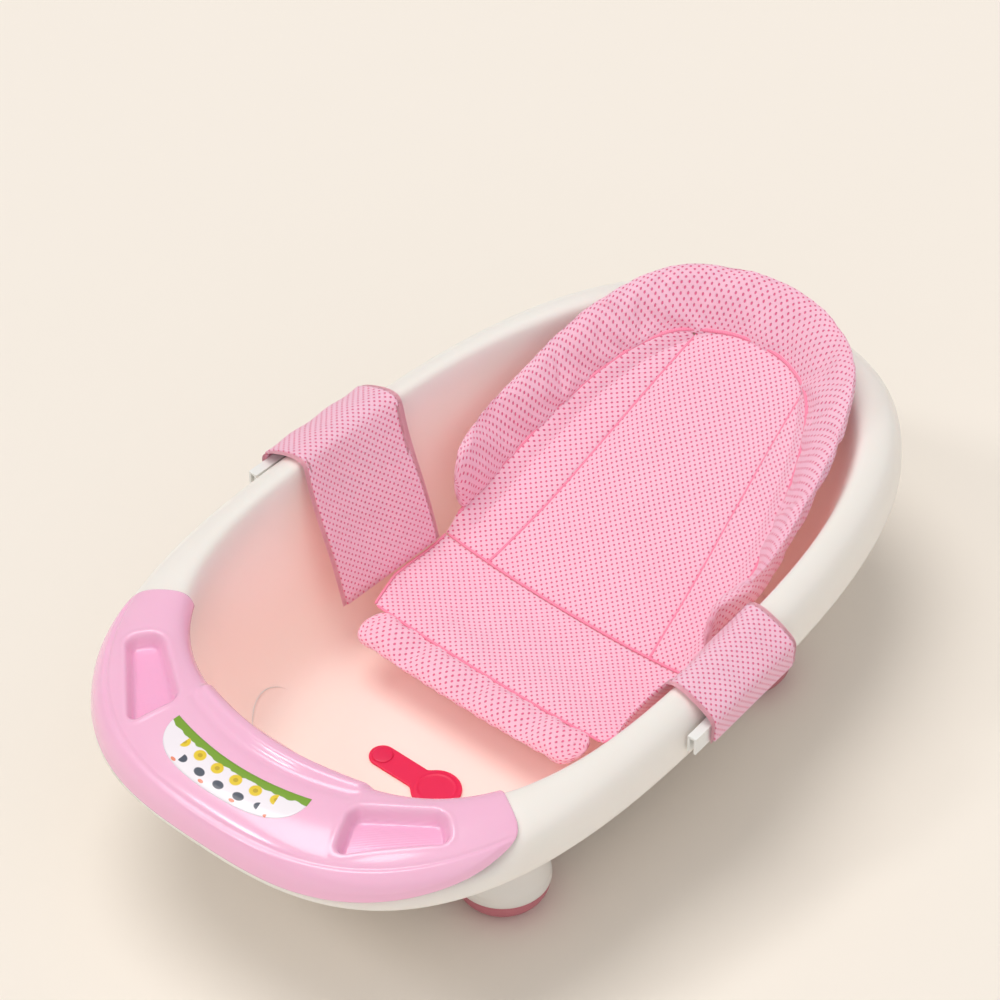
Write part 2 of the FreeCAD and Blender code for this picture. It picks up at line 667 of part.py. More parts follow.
# ---- all nodes -----------------------------------------------------------------------------
def all_nodes():
    nodes = {
        "tub_shell": tub_shell(),
        "foot_console": foot_console(),
        "temperature_label": temperature_label(),
        "console_screws": console_screws(),
        "drain_plug": drain_plug(),
        "plug_anchor": plug_anchor(),
        "plug_rivet": plug_rivet(),
        "seat_panel": seat_panel(),
        "back_panel": back_panel(),
        "back_gore_right": back_gore(1.0),
        "back_gore_left": back_gore(-1.0),
        "head_bolster": head_bolster(),
        "head_bolster_foam": head_bolster_foam(),
        "front_bolster": front_bolster(),
        "front_bolster_foam": front_bolster_foam(),
    }
    for end, (x, y) in FOOT_PLACES.items():
        nodes["foot_pad_%s_right" % end] = foot_pad(x, y)
        nodes["foot_pad_%s_left" % end] = foot_pad(x, -y)
    sided = {"flap": flap(), "flap_binding_front": flap_binding(True),
             "flap_binding_rear": flap_binding(False), "hook_bar": hook_bar(), "flap_tail": flap_tail()}
    for name, shape in sided.items():
        nodes[name + "_right"] = shape
        nodes[name + "_left"] = mirrored(shape)
    return nodes


os.makedirs("parts", exist_ok=True)
for name, shape in all_nodes().items():
    shape.exportStep("parts/%s.step" % name)
    print(name, "valid" if shape.isValid() else "INVALID", len(shape.Solids), "solids",
          round(shape.Volume / 1000.0, 2), "cm3")
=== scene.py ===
"""Baby bathtub with a clip-on air-mesh bath net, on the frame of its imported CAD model.

Shapes are worked out in millimetres, in the frame of the CAD model, and go into meshes in metres.
"""
import math

import bpy
import numpy as np
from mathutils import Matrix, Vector


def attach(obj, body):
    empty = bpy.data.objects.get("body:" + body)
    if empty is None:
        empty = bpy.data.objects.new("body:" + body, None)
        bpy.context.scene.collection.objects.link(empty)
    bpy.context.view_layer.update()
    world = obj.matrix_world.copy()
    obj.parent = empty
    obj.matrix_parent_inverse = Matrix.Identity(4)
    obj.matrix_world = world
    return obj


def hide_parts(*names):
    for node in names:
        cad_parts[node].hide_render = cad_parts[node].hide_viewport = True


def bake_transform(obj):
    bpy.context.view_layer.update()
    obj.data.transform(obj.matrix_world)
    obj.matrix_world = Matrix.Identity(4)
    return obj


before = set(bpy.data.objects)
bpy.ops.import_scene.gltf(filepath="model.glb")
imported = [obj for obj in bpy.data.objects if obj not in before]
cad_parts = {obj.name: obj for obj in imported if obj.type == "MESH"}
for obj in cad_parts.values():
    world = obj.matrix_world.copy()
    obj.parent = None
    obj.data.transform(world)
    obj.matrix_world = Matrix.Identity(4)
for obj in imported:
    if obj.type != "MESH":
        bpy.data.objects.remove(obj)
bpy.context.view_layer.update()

# ---- sizes of the tub, in millimetres -------------------------------------------------------
WALL = 2.5
FLOOR_TOP = 34.0
SQUARENESS = 2.8
TAPER = -0.21e-3
DECK_DROP = 23.0
DROP_START, DROP_LENGTH = -252.0, 36.0
# Rings of spline poles from the floor's edge over the rim to the apron's lower edge:
# reach to the foot end, reach to the head end, half width, height, share of the deck's drop
RINGS = np.array([
    (236.0, 150.0, 130.0, FLOOR_TOP, 0.0),
    (250.0, 168.0, 144.0, FLOOR_TOP, 0.0),
    (270.0, 198.0, 163.0, FLOOR_TOP + 7.0, 0.0),
    (291.0, 268.0, 184.0, 95.0, 0.0),
    (303.0, 333.0, 200.0, 165.0, 0.0),
    (307.0, 356.0, 206.0, 199.0, 0.5),
    (313.0, 365.0, 210.0, 217.5, 0.95),
    (340.0, 381.0, 219.0, 218.5, 1.0),
    (374.0, 400.0, 230.0, 214.5, 0.95),
    (403.0, 411.0, 239.5, 206.0, 0.65),
    (413.0, 415.0, 243.0, 190.0, 0.2),
    (415.0, 415.0, 244.0, 172.0, 0.0),
]).T
LAST_KNOT = RINGS.shape[1] - 3.0       # the section's parameter runs from 0 to this
DRAIN = (-141.0, -25.0)
DRAIN_RADIUS = 15.0
RIVET = (-141.0, 38.0)
FOOT_PLACES = {"front": (-170.0, 127.0), "rear": (179.0, 121.0)}
FOOT_RADIUS = 42.5
FOOT_SPLIT = 24.0


# ---- small helpers --------------------------------------------------------------------------
def smooth(t):
    """S-shaped step: 0 below t = 0, 1 above t = 1."""
    t = np.clip(t, 0.0, 1.0)
    return t * t * (3.0 - 2.0 * t)


def basis(v, count):
    """Weights of a clamped cubic B-spline's poles at v, by Cox and de Boor's recursion."""
    knots = np.concatenate([np.zeros(3), np.arange(count - 2.0), np.full(3, count - 3.0)])
    v = np.clip(np.asarray(v, float), 0.0, count - 3.0 - 1e-9)[..., None]
    weights = ((knots[:-1] <= v) & (v < knots[1:])).astype(float)
    for degree in (1, 2, 3):
        low, high = knots[:-degree - 1], knots[degree + 1:]
        rise = (v - low) / np.maximum(knots[degree:-1] - low, 1e-9)
        fall = (high - v) / np.maximum(high - knots[1:-degree], 1e-9)
        weights = rise * weights[..., :-1] + fall * weights[..., 1:]
    return weights


def spline(poles, t):
    """Clamped cubic B-spline through the space of its poles, with t from 0 to 1."""
    poles = np.asarray(poles, float)
    return basis(np.asarray(t) * (len(poles) - 3.0), len(poles)) @ poles


def curve_through(points, x):
    """Cubic Hermite curve through (x, value) points, its slopes from the neighbours' chords."""
    xs, ys = np.array(points, float).T
    slopes = np.gradient(ys, xs)
    k = np.clip(np.searchsorted(xs, x) - 1, 0, len(xs) - 2)
    width = xs[k + 1] - xs[k]
    t = np.clip((x - xs[k]) / width, 0.0, 1.0)
    start, end = (1.0 + 2.0 * t) * (1.0 - t) ** 2, t * t * (3.0 - 2.0 * t)
    return (start * ys[k] + end * ys[k + 1]
            + t * (1.0 - t) ** 2 * width * slopes[k] - t * t * (1.0 - t) * width * slopes[k + 1])


def unit(vectors):
    """Each vector divided by its own length."""
    return vectors / np.maximum(np.linalg.norm(vectors, axis=-1, keepdims=True), 1e-12)


def quads(rows, columns, closed_rows, closed_columns):
    """Corner numbers of a grid's quads; a closed direction joins its last line to its first."""
    i = np.arange(rows if closed_rows else rows - 1)[:, None]
    j = np.arange(columns if closed_columns else columns - 1)[None, :]
    i2, j2 = (i + 1) % rows, (j + 1) % columns
    corners = [i * columns + j, i2 * columns + j, i2 * columns + j2, i * columns + j2]
    return np.stack([np.broadcast_to(c, (i.shape[0], j.shape[1])) for c in corners], -1).reshape(-1, 4)


def volume(points, faces):
    """Signed volume inside closed quads: the sum of the tetrahedra to the origin."""
    a, b, c, d = (points[faces[:, k]] for k in range(4))
    return float((a * np.cross(b, c) + a * np.cross(c, d)).sum() / 6.0)


def end_caps(rows, columns):
    """Quads across the first and the last row of a grid that is round along its columns."""
    k = np.arange(columns // 2 - 1)
    strip = np.stack([k, k + 1, columns - 2 - k, columns - 1 - k], -1)
    return np.concatenate([strip, strip[:, ::-1] + (rows - 1) * columns])


def grid_piece(name, points, material, body, closed_rows=False, closed_columns=False, uv=None,
               replaced=(), merge=0.0, capped=False):
    """Closed surface on a grid of points in millimetres, as one object that rides on a body."""
    rows, columns = points.shape[:2]
    flat = points.reshape(-1, 3) * 0.001
    faces = quads(rows, columns, closed_rows, closed_columns)
    if capped:
        faces = np.concatenate([faces, end_caps(rows, columns)])
    turned = volume(flat - flat.mean(0), faces) < 0.0
    if turned:
        faces = faces[:, ::-1]
    mesh = bpy.data.meshes.new(name)
    mesh.vertices.add(len(flat))
    mesh.vertices.foreach_set("co", flat.astype(np.float32).ravel())
    mesh.loops.add(faces.size)
    mesh.loops.foreach_set("vertex_index", faces.astype(np.int32).ravel())
    mesh.polygons.add(len(faces))
    mesh.polygons.foreach_set("loop_start", np.arange(0, faces.size, 4, dtype=np.int32))
    mesh.polygons.foreach_set("use_smooth", np.ones(len(faces), bool))
    if uv is not None:
        layer = mesh.uv_layers.new(name="cloth")
        layer.data.foreach_set("uv", seam_free(uv, faces, rows, columns).astype(np.float32).ravel())
    mesh.update(calc_edges=True)
    mesh.validate()
    if merge:
        merge_close(mesh, merge)
    obj = bpy.data.objects.new(name, mesh)
    bpy.context.scene.collection.objects.link(obj)
    mesh.materials.append(material)
    if replaced:
        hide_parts(*replaced)
    if body:
        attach(obj, body)
    return obj


def seam_free(uv, faces, rows, columns):
    """Cloth coordinates of each face corner; uv has one more row or column where the grid closes."""
    corner_rows, corner_columns = faces // columns, faces % columns
    if uv.shape[0] > rows:
        wraps = (corner_rows.max(1) == rows - 1) & (corner_rows.min(1) == 0)
        corner_rows = np.where(wraps[:, None] & (corner_rows == 0), rows, corner_rows)
    if uv.shape[1] > columns:
        wraps = (corner_columns.max(1) == columns - 1) & (corner_columns.min(1) == 0)
        corner_columns = np.where(wraps[:, None] & (corner_columns == 0), columns, corner_columns)
    return uv[corner_rows, corner_columns]


def merge_close(mesh, distance):
    """Joins the doubled corners of poles and seams."""
    import bmesh
    work = bmesh.new()
    work.from_mesh(mesh)
    bmesh.ops.remove_doubles(work, verts=work.verts, dist=distance)
    bmesh.ops.dissolve_degenerate(work, edges=work.edges, dist=distance * 0.1)
    work.to_mesh(mesh)
    work.free()


def sandwich(upper, lower):
    """Closed grid round two skins with the same edges: out along the upper, back on the lower."""
    return np.concatenate([upper, lower[:, ::-1]], axis=1)


# ---- materials ------------------------------------------------------------------------------
def colour(code):
    """Linear colour of an sRGB hex code."""
    parts = np.array([int(code[k:k + 2], 16) for k in (1, 3, 5)]) / 255.0
    linear = np.where(parts <= 0.04045, parts / 12.92, ((parts + 0.055) / 1.055) ** 2.4)
    return (*linear, 1.0)


def add(tree, kind, inputs=(), **settings):
    """Adds a node: settings are its properties, inputs are (socket, value or other socket)."""
    node = tree.nodes.new("ShaderNode" + kind)
    for key, value in settings.items():
        setattr(node, key, value)
    for key, value in dict(inputs).items():
        if isinstance(value, bpy.types.NodeSocket):
            tree.links.new(value, node.inputs[key])
        else:
            node.inputs[key].default_value = value
    return node


def start_material(name):
    """An empty material with its output; returns the material and its node tree."""
    material = bpy.data.materials.new(name)
    material.use_nodes = True
    material.node_tree.nodes.clear()
    return material, material.node_tree


def finish_material(tree, shader):
    """Joins the shader to the material's surface."""
    add(tree, "OutputMaterial", {"Surface": shader.outputs["BSDF"]})


def moulded(name, light, dark, roughness, grain_mm, bump, coat=0.0, subsurface=0.0, glow="#FFFFFF",
            marked=None, rib_mm=0.0, painted_glow=None):
    """Injection-moulded plastic or rubber: cloudy colour, a fine moulded grain, faint flow marks.

    Where a piece's second texture coordinate rises above 0 it takes on the marked colour, and
    diagonal ribs if they have a pitch; a painted glow colour adds a faint emission there, as painted
    light.
    """
    material, tree = start_material(name)
    place = add(tree, "TexCoord").outputs["Object"]
    cloud = add(tree, "TexNoise", {"Vector": place, "Scale": 9.0, "Detail": 3.0}).outputs["Fac"]
    tint = add(tree, "Mix", {"Factor": cloud, "A": colour(light), "B": colour(dark)},
               data_type="RGBA")
    grain = add(tree, "TexNoise", {"Vector": place, "Scale": 1000.0 / grain_mm, "Detail": 2.0})
    gloss = add(tree, "MapRange", {"Value": cloud, "To Min": roughness - 0.04,
                                   "To Max": roughness + 0.06})
    height = grain.outputs["Fac"]
    if marked:
        mark = add(tree, "SeparateXYZ", {"Vector": add(tree, "UVMap", uv_map="cloth").outputs["UV"]})
        share = add(tree, "MapRange", {"Value": mark.outputs["Y"]}, interpolation_type="SMOOTHSTEP")
        tint = add(tree, "Mix", {"Factor": share.outputs["Result"], "A": tint.outputs["Result"],
                                 "B": colour(marked)}, data_type="RGBA")
    if rib_mm:
        turns = add(tree, "VectorMath", {0: place, 1: [2000.0 * math.pi / rib_mm] * 2 + [0.0]},
                    operation="DOT_PRODUCT")
        wave = add(tree, "Math", {0: turns.outputs["Value"]}, operation="SINE")
        wave = add(tree, "Math", {0: wave.outputs[0], 1: 8.0}, operation="MULTIPLY")
        height = add(tree, "Math", {0: wave.outputs[0], 1: share.outputs["Result"], 2: height},
                     operation="MULTIPLY_ADD").outputs[0]
    relief = add(tree, "Bump", {"Height": height, "Strength": bump, "Distance": 0.0004})
    shader = add(tree, "BsdfPrincipled", {
        "Base Color": tint.outputs["Result"], "Roughness": gloss.outputs["Result"],
        "Normal": relief.outputs["Normal"], "IOR": 1.49, "Coat Weight": coat,
        "Coat Roughness": 0.12, "Subsurface Weight": subsurface, "Subsurface Scale": 0.006,
        "Subsurface Radius": colour(glow)[:3]})
    # painted glow: a faint emission where the second coordinate rises, which brightens the inside as
    # painted light
    if painted_glow:
        light = add(tree, "Math", {0: share.outputs["Result"], 1: 0.12}, operation="MULTIPLY")
        tree.links.new(light.outputs[0], shader.inputs["Emission Strength"])
        shader.inputs["Emission Color"].default_value = colour(painted_glow)
    finish_material(tree, shader)
    return material


def air_mesh(name, thread, hollow, hole_mm=2.1, pitch_mm=6.8):
    """Knitted polyester air mesh: rows of round holes, each row half a pitch on from the last."""
    material, tree = start_material(name)
    cloth = add(tree, "UVMap", uv_map="cloth").outputs["UV"]
    flat = add(tree, "SeparateXYZ", {"Vector": cloth})
    across = add(tree, "Math", {0: flat.outputs["X"], 1: 1000.0 / pitch_mm}, operation="MULTIPLY")
    rows = add(tree, "Math", {0: flat.outputs["Y"], 1: 2000.0 / pitch_mm}, operation="MULTIPLY")
    row = add(tree, "Math", {0: rows.outputs[0]}, operation="FLOOR")
    half = add(tree, "Math", {0: row.outputs[0], 1: 0.5, 2: across.outputs[0]},
               operation="MULTIPLY_ADD")
    cell_x = add(tree, "Math", {0: half.outputs[0]}, operation="FRACT")
    cell_y = add(tree, "Math", {0: rows.outputs[0]}, operation="FRACT")
    off_x = add(tree, "Math", {0: cell_x.outputs[0], 1: pitch_mm, 2: -0.5 * pitch_mm},
                operation="MULTIPLY_ADD")
    off_y = add(tree, "Math", {0: cell_y.outputs[0], 1: 0.5 * pitch_mm, 2: -0.25 * pitch_mm},
                operation="MULTIPLY_ADD")
    offset = add(tree, "CombineXYZ", {"X": off_x.outputs[0], "Y": off_y.outputs[0]})
    away = add(tree, "VectorMath", {0: offset.outputs[0]}, operation="LENGTH")
    hole = add(tree, "MapRange", {"Value": away.outputs["Value"], "From Min": 0.62 * hole_mm,
                                  "From Max": 0.36 * hole_mm}, interpolation_type="SMOOTHSTEP")
    place = add(tree, "TexCoord").outputs["Object"]
    fibres = add(tree, "TexNoise", {"Vector": place, "Scale": 2600.0, "Detail": 2.0})
    cloud = add(tree, "TexNoise", {"Vector": place, "Scale": 14.0, "Detail": 2.0})
    yarn = add(tree, "Mix", {"Factor": cloud.outputs["Fac"], "A": colour(thread[0]),
                             "B": colour(thread[1])}, data_type="RGBA")
    # in the holes the backing layer's deeper pink, darkened as painted shade
    tint = add(tree, "Mix", {"Factor": hole.outputs["Result"], "A": yarn.outputs["Result"],
                             "B": colour(hollow)}, data_type="RGBA")
    depth = add(tree, "Math", {0: hole.outputs["Result"], 1: -1.0}, operation="MULTIPLY")
    height = add(tree, "Math", {0: fibres.outputs["Fac"], 1: 0.25, 2: depth.outputs[0]},
                 operation="MULTIPLY_ADD")
    relief = add(tree, "Bump", {"Height": height.outputs[0], "Strength": 0.7, "Distance": 0.0012})
    shader = add(tree, "BsdfPrincipled", {
        "Base Color": tint.outputs["Result"], "Roughness": 0.8, "Normal": relief.outputs["Normal"],
        "Sheen Weight": 0.35, "Sheen Roughness": 0.5, "Sheen Tint": colour("#FFE3EA"),
        "Subsurface Weight": 0.15, "Subsurface Scale": 0.004,
        "Subsurface Radius": (1.0, 0.35, 0.4), "Specular IOR Level": 0.25})
    finish_material(tree, shader)
    return material


def woven_tape(name, light, dark, rib_mm=1.1):
    """Polyester binding tape: fine ribs across its length, in a deeper pink."""
    material, tree = start_material(name)
    cloth = add(tree, "UVMap", uv_map="cloth").outputs["UV"]
    flat = add(tree, "SeparateXYZ", {"Vector": cloth})
    turns = add(tree, "Math", {0: flat.outputs["X"], 1: 2000.0 * math.pi / rib_mm},
                operation="MULTIPLY")
    wave = add(tree, "Math", {0: turns.outputs[0]}, operation="SINE")
    rib = add(tree, "MapRange", {"Value": wave.outputs[0], "From Min": -1.0, "From Max": 1.0})
    # painted shade: each rib lighter on its crest and darker in the groove between, on the bump's own wave
    tint = add(tree, "Mix", {"Factor": rib.outputs["Result"], "A": colour(dark),
                             "B": colour(light)}, data_type="RGBA")
    relief = add(tree, "Bump", {"Height": rib.outputs["Result"], "Strength": 0.3,
                                "Distance": 0.0002})
    shader = add(tree, "BsdfPrincipled", {
        "Base Color": tint.outputs["Result"], "Roughness": 0.65, "Normal": relief.outputs["Normal"],
        "Sheen Weight": 0.3, "Sheen Roughness": 0.5, "Specular IOR Level": 0.3})
    finish_material(tree, shader)
    return material


# Polypropylene, moulded: a soft gloss, cream white; peach inside as painted pink bounce light, with a
# faint painted glow
SHELL = moulded("moulded_polypropylene_cream", "#F8F2EC", "#F4EDE5", 0.30, 1.3, 0.05,
                coat=0.25, subsurface=0.12, glow="#FFC9B8", marked="#FFE9E1", painted_glow="#FFC2B0")
# The same polypropylene dyed pink, polished mould: clear highlights, ribbed dish floors
CONSOLE = moulded("moulded_polypropylene_pink", "#FFC3DE", "#FCB9D7", 0.20, 1.1, 0.06,
                  coat=0.6, subsurface=0.15, glow="#FF9FC4", marked="#FBB2D6", rib_mm=3.4)
# Silicone rubber: saturated pink, satin, light sinks in a little
SILICONE = moulded("silicone_rubber_hot_pink", "#EC1E56", "#E3184E", 0.42, 0.8, 0.10,
                   subsurface=0.2, glow="#FF4060")
# Thermoplastic rubber of the soles: dull dusty pink
RUBBER = moulded("thermoplastic_rubber_dusty_pink", "#CF7D88", "#C5717D", 0.55, 0.7, 0.30)
# Acetal clips: hard opaque white with a tight gloss
CLIP = moulded("acetal_white", "#F4F4F1", "#ECECE8", 0.30, 0.9, 0.05, coat=0.2)
# Knitted air mesh: matt pink threads round holes in a deeper pink, the backing layer with painted shade
MESH = air_mesh("polyester_air_mesh_pink", ("#FFCDE0", "#FFC4D9"), "#EF7199")
# Woven polyester: ribbed tape round the flaps' edges, rounder piping in the seams
# the binding tape's colours are painted paler than its own pink: painted light against the shade on the
# flat tape inside the cloth's edge
TAPE = woven_tape("polyester_binding_tape_pink", "#FFD3DE", "#FFC6D3")
PIPING = woven_tape("polyester_seam_piping_pink", "#FF9DBA", "#FA88AA", rib_mm=1.6)


def zinc_steel():
    """Zinc-plated steel screws: bluish grey metal with fine turned rings."""
    material, tree = start_material("zinc_plated_steel")
    place = add(tree, "TexCoord").outputs["Object"]
    rings = add(tree, "TexNoise", {"Vector": place, "Scale": 1200.0, "Detail": 2.0})
    gloss = add(tree, "MapRange", {"Value": rings.outputs["Fac"], "To Min": 0.25, "To Max": 0.45})
    shader = add(tree, "BsdfPrincipled", {"Base Color": colour("#B9BEC4"), "Metallic": 1.0,
                                          "Roughness": gloss.outputs["Result"]})
    finish_material(tree, shader)
    return material


ZINC = zinc_steel()


# ---- tub shell ------------------------------------------------------------------------------
def ring_points(theta, dropped=False):
    """Where each ring has its pole at polar angle theta: x, y and z, with one column a ring.

    A ring is a super-ellipse whose width grows towards the foot end, and under the console its
    height sinks by its share of the deck's drop.
    """
    foot, head, half_width, height, share = RINGS
    c, s = np.cos(theta)[..., None], np.sin(theta)[..., None]
    reach = np.where(c > 0.0, head, foot)
    ratio = np.abs(c / reach) ** SQUARENESS + np.abs(s / half_width) ** SQUARENESS
    radius = ratio ** (-1.0 / SQUARENESS)
    x = radius * c
    drop = DECK_DROP * share * smooth((DROP_START - x) / DROP_LENGTH) if dropped else 0.0
    return x, radius * s * (1.0 + TAPER * x), height - drop + 0.0 * x


def shell_point(theta, v, dropped):
    """Point of the shell's visible skin: a cubic spline along v through the rings' poles."""
    weights = basis(v, RINGS.shape[1])
    poles = ring_points(np.asarray(theta, float), dropped)
    return np.stack([(weights * ring).sum(-1) for ring in poles], -1)


def shell_skin(theta, v, height, dropped=False):
    """Shell point moved by a height along the normal of the visible side."""
    step = 2e-3
    v = np.clip(v, step, LAST_KNOT - step)
    along = shell_point(theta + step, v, dropped) - shell_point(theta - step, v, dropped)
    across = shell_point(theta, v + step, dropped) - shell_point(theta, v - step, dropped)
    height = np.asarray(height, float)[..., None]
    return shell_point(theta, v, dropped) + unit(np.cross(across, along)) * height


SHELL_ROUND, SHELL_VISIBLE, SHELL_HIDDEN = 384, 108, 60      # grid lines round and across the skin
BOUNCE_TINT_START, BOUNCE_TINT_FADE = 5.4, 3.6   # the painted peach bounce light fades in below the rim over this much of v


def tub_shell():
    """One closed skin: drain hole, floor, wall, rim, apron, lip, and back along the underside."""
    theta = np.linspace(0.0, 2.0 * math.pi, SHELL_ROUND, endpoint=False)[:, None]
    ring = np.concatenate([np.cos(theta), np.sin(theta)], -1)
    hole = np.array(DRAIN) + DRAIN_RADIUS * ring

    def floor(share, z, lift):
        """Straight lines from the drain's edge to the floor's edge; the lift dishes the edge."""
        edge = shell_point(theta, np.zeros((1, 1)), True)[:, 0, :2]
        flat = hole[:, None] * (1.0 - share[:, None]) + edge[:, None] * share[:, None]
        near = 1.2 * np.clip(1.0 - share * 12.0, 0.0, 1.0) ** 2 * lift
        height = np.broadcast_to((z - near)[None, :, None], (*flat.shape[:2], 1))
        return np.concatenate([flat, height], -1)

    shares = np.concatenate([np.linspace(0.0, 0.09, 6), np.linspace(0.13, 0.97, 16)])
    outwards = np.linspace(0.0, LAST_KNOT, SHELL_VISIBLE)
    back = np.linspace(LAST_KNOT, 0.0, SHELL_HIDDEN)
    visible = shell_skin(theta, outwards[None], np.zeros((1, 1)), True)
    hidden = shell_skin(theta, back[None], np.full((1, 1), -WALL), True)
    turn = np.linspace(0.0, 1.0, 6)[1:-1, None]
    lip = visible[:, -1:] + (hidden[:, :1] - visible[:, -1:]) * turn
    lip[..., 2] -= 0.5 * WALL * np.sin(math.pi * turn[:, 0])
    points = np.concatenate([floor(shares, FLOOR_TOP, 1.0), visible, lip, hidden,
                             floor(shares[::-1], FLOOR_TOP - WALL, 0.0)], axis=1)
    # second texture coordinate: 1 on the floor and the inside wall, 0 from the rim outwards; where it
    # rises lie the painted bounce light and glow
    depth = np.zeros(points.shape[1])
    depth[:shares.size] = 1.0
    depth[shares.size:shares.size + SHELL_VISIBLE] = smooth((BOUNCE_TINT_START - outwards) / BOUNCE_TINT_FADE)
    run = np.linspace(0.0, 2.4, SHELL_ROUND + 1)
    uv = np.stack(np.broadcast_arrays(run[:, None], depth[None]), -1)
    return grid_piece("tub_shell_skin", points, SHELL, "tub", True, True, uv=uv,
                      replaced=["tub_shell"])


def section_at(x, y, low, high):
    """Polar angle and section parameter of the undropped skin over places in plan.

    The skin's polar radius grows with v between the two bounds, so v is read back from it.
    """
    theta = np.arctan2(y / (1.0 + TAPER * x), x)
    ring_x, ring_y, _ = ring_points(theta)
    v = np.linspace(low, high, 100)
    weights = basis(v, RINGS.shape[1]).T
    radius = np.hypot(ring_x @ weights, ring_y @ weights)
    wanted = np.hypot(x, y)[..., None]
    k = np.clip((radius < wanted).sum(-1, keepdims=True) - 1, 0, len(v) - 2)
    before, after = (np.take_along_axis(radius, k + d, -1) for d in (0, 1))
    share = np.clip((wanted - before) / np.maximum(after - before, 1e-6), 0.0, 1.0)
    return theta, (v[k] + (v[1] - v[0]) * share)[..., 0]


def wall_height(x, y):
    """Height of the shell's inside skin over points in plan, from its rings' polar radii."""
    v = section_at(x, y, 0.0, 5.0)[1]
    return np.where(v <= 0.0, FLOOR_TOP, basis(v, RINGS.shape[1]) @ RINGS[3])


LEG_STRAIGHT, LEG_HEIGHT = 9.0, 96.0   # upright part, and where a leg would end without the tub
LEG_STEP = 0.8
LEG_SINK = 0.9                         # a leg's top lies this far inside the shell's wall


def leg(name, x, y):
    """Hollow leg: a ring that leans inwards as it rises until it meets the wall's middle."""
    turn = np.linspace(0.0, 2.0 * math.pi, 96, endpoint=False)
    levels = np.linspace(FOOT_SPLIT, FOOT_SPLIT + 110.0, 260)[None, :]

    def place(level, shrink):
        """Plan of the leg's ring at a level, drawn in by a wall's thickness."""
        rise = np.clip((level - FOOT_SPLIT - LEG_STRAIGHT) / (LEG_HEIGHT - LEG_STRAIGHT), 0.0, 1.2)
        radius = FOOT_RADIUS - shrink - 4.0 * rise
        # a fine step just above the sole, as the mould's parting line
        radius = radius + LEG_STEP * (1.0 - smooth((level - FOOT_SPLIT - 5.0) / 1.5))
        px = x * (1.0 - 0.12 * rise) + radius * np.cos(turn)[:, None]
        py = y * (1.0 - 0.24 * rise) + radius * np.sin(turn)[:, None]
        return px, py

    px, py = place(levels, 0.0)
    towards = np.hypot(px, py)
    shrink = (towards - LEG_SINK) / towards
    inside = levels > wall_height(px * shrink, py * shrink) - LEG_SINK
    first = np.maximum(inside.argmax(axis=1), 1)
    top = levels[0, first]
    ring_kernel = np.ones(5) / 5.0
    top = np.convolve(np.concatenate([top[-2:], top, top[:2]]), ring_kernel, "valid")
    share = np.linspace(0.0, 1.0, 28)[None, :]
    heights = FOOT_SPLIT + (top[:, None] - FOOT_SPLIT) * share
    outer = np.stack([*place(heights, 0.0), heights], -1)
    inner = np.stack([*place(heights, WALL), heights], -1)
    return grid_piece(name, sandwich(outer, inner), SHELL, "tub", True, True)


# ---- console --------------------------------------------------------------------------------
CONSOLE_RISE = 2.9         # outside of the console above the rim's skin
EDGE_ROUND = 2.6           # radius of its rounded border
# The console's end as a spline from the inside lip over the rim to the skirt's lower edge:
# (half angle seen from the origin in degrees, section parameter)
CONSOLE_END = [(36.0, 4.25), (36.4, 4.8), (37.0, 5.6), (38.2, 6.5), (39.0, 7.3), (38.6, 7.85),
               (36.2, 8.2), (33.4, 8.5), (28.6, 8.68), (21.0, 8.83), (14.0, 8.90), (8.0, 8.91)]
DISH = [(-331.0, 97.0), (-376.0, 116.0), (-304.0, 186.0), (-283.0, 162.0)]
DISH_CORNER = 11.0
DISH_DEPTH = 14.0
RIDGE_CENTRE = -96.0
RIDGE_HALF = 97.0


def rounded_polygon(x, y, corners, radius):
    """Distance outside a convex polygon with rounded corners; negative inside."""
    corners = np.array(corners)
    centre = corners.mean(0)
    following = np.roll(corners, -1, axis=0)
    edges = unit(following - corners)
    normals = np.stack([edges[:, 1], -edges[:, 0]], -1)
    normals *= np.sign(((corners - centre) * normals).sum(-1))[:, None]
    depth = np.stack([(x - c[0]) * n[0] + (y - c[1]) * n[1] + radius
                      for c, n in zip(corners, normals)])
    inside = depth.max(0)
    # beyond two edges at once the distance runs to the corner's arc
    two = np.sort(depth, axis=0)[-2:]
    corner = np.hypot(np.clip(two[0], 0.0, None), np.clip(two[1], 0.0, None))
    return np.where(two[0] > 0.0, corner, inside) - radius


def console_relief(x, y):
    """Height added to the console: sunk dishes, raised inner ridge and the groove behind it."""
    relief = np.zeros_like(x)
    for side in (1.0, -1.0):
        outside = rounded_polygon(x, side * y, DISH, DISH_CORNER)
        relief -= DISH_DEPTH * smooth((1.5 - outside) / 8.0)
        relief += 0.5 * np.exp(-((outside - 3.5) / 2.0) ** 2)
    radius = np.hypot(x - RIDGE_CENTRE, y)
    ends = smooth((RIDGE_HALF - np.abs(y)) / 9.0)
    crest = smooth((radius - 219.0) / 6.0) * smooth((240.0 - radius) / 9.0)
    groove = np.exp(-((radius - 243.5) / 5.0) ** 2)
    return relief + ends * (5.2 * crest - 1.4 * groove) * (radius < 262.0)


def crease_place(phi):
    """Section parameter of the styling crease, lower at the middle than at the two ends."""
    return 8.12 - 0.5 * smooth(np.abs(phi) / math.radians(40.0))


def section_length(v):
    """Length along the shell's section at the foot end, up to v."""
    steps = np.linspace(0.0, LAST_KNOT, 600)
    line = shell_point(np.full_like(steps, math.pi), steps, False)
    run = np.concatenate([[0.0], np.cumsum(np.linalg.norm(np.diff(line, axis=0), axis=1))])
    return np.interp(v, steps, run)


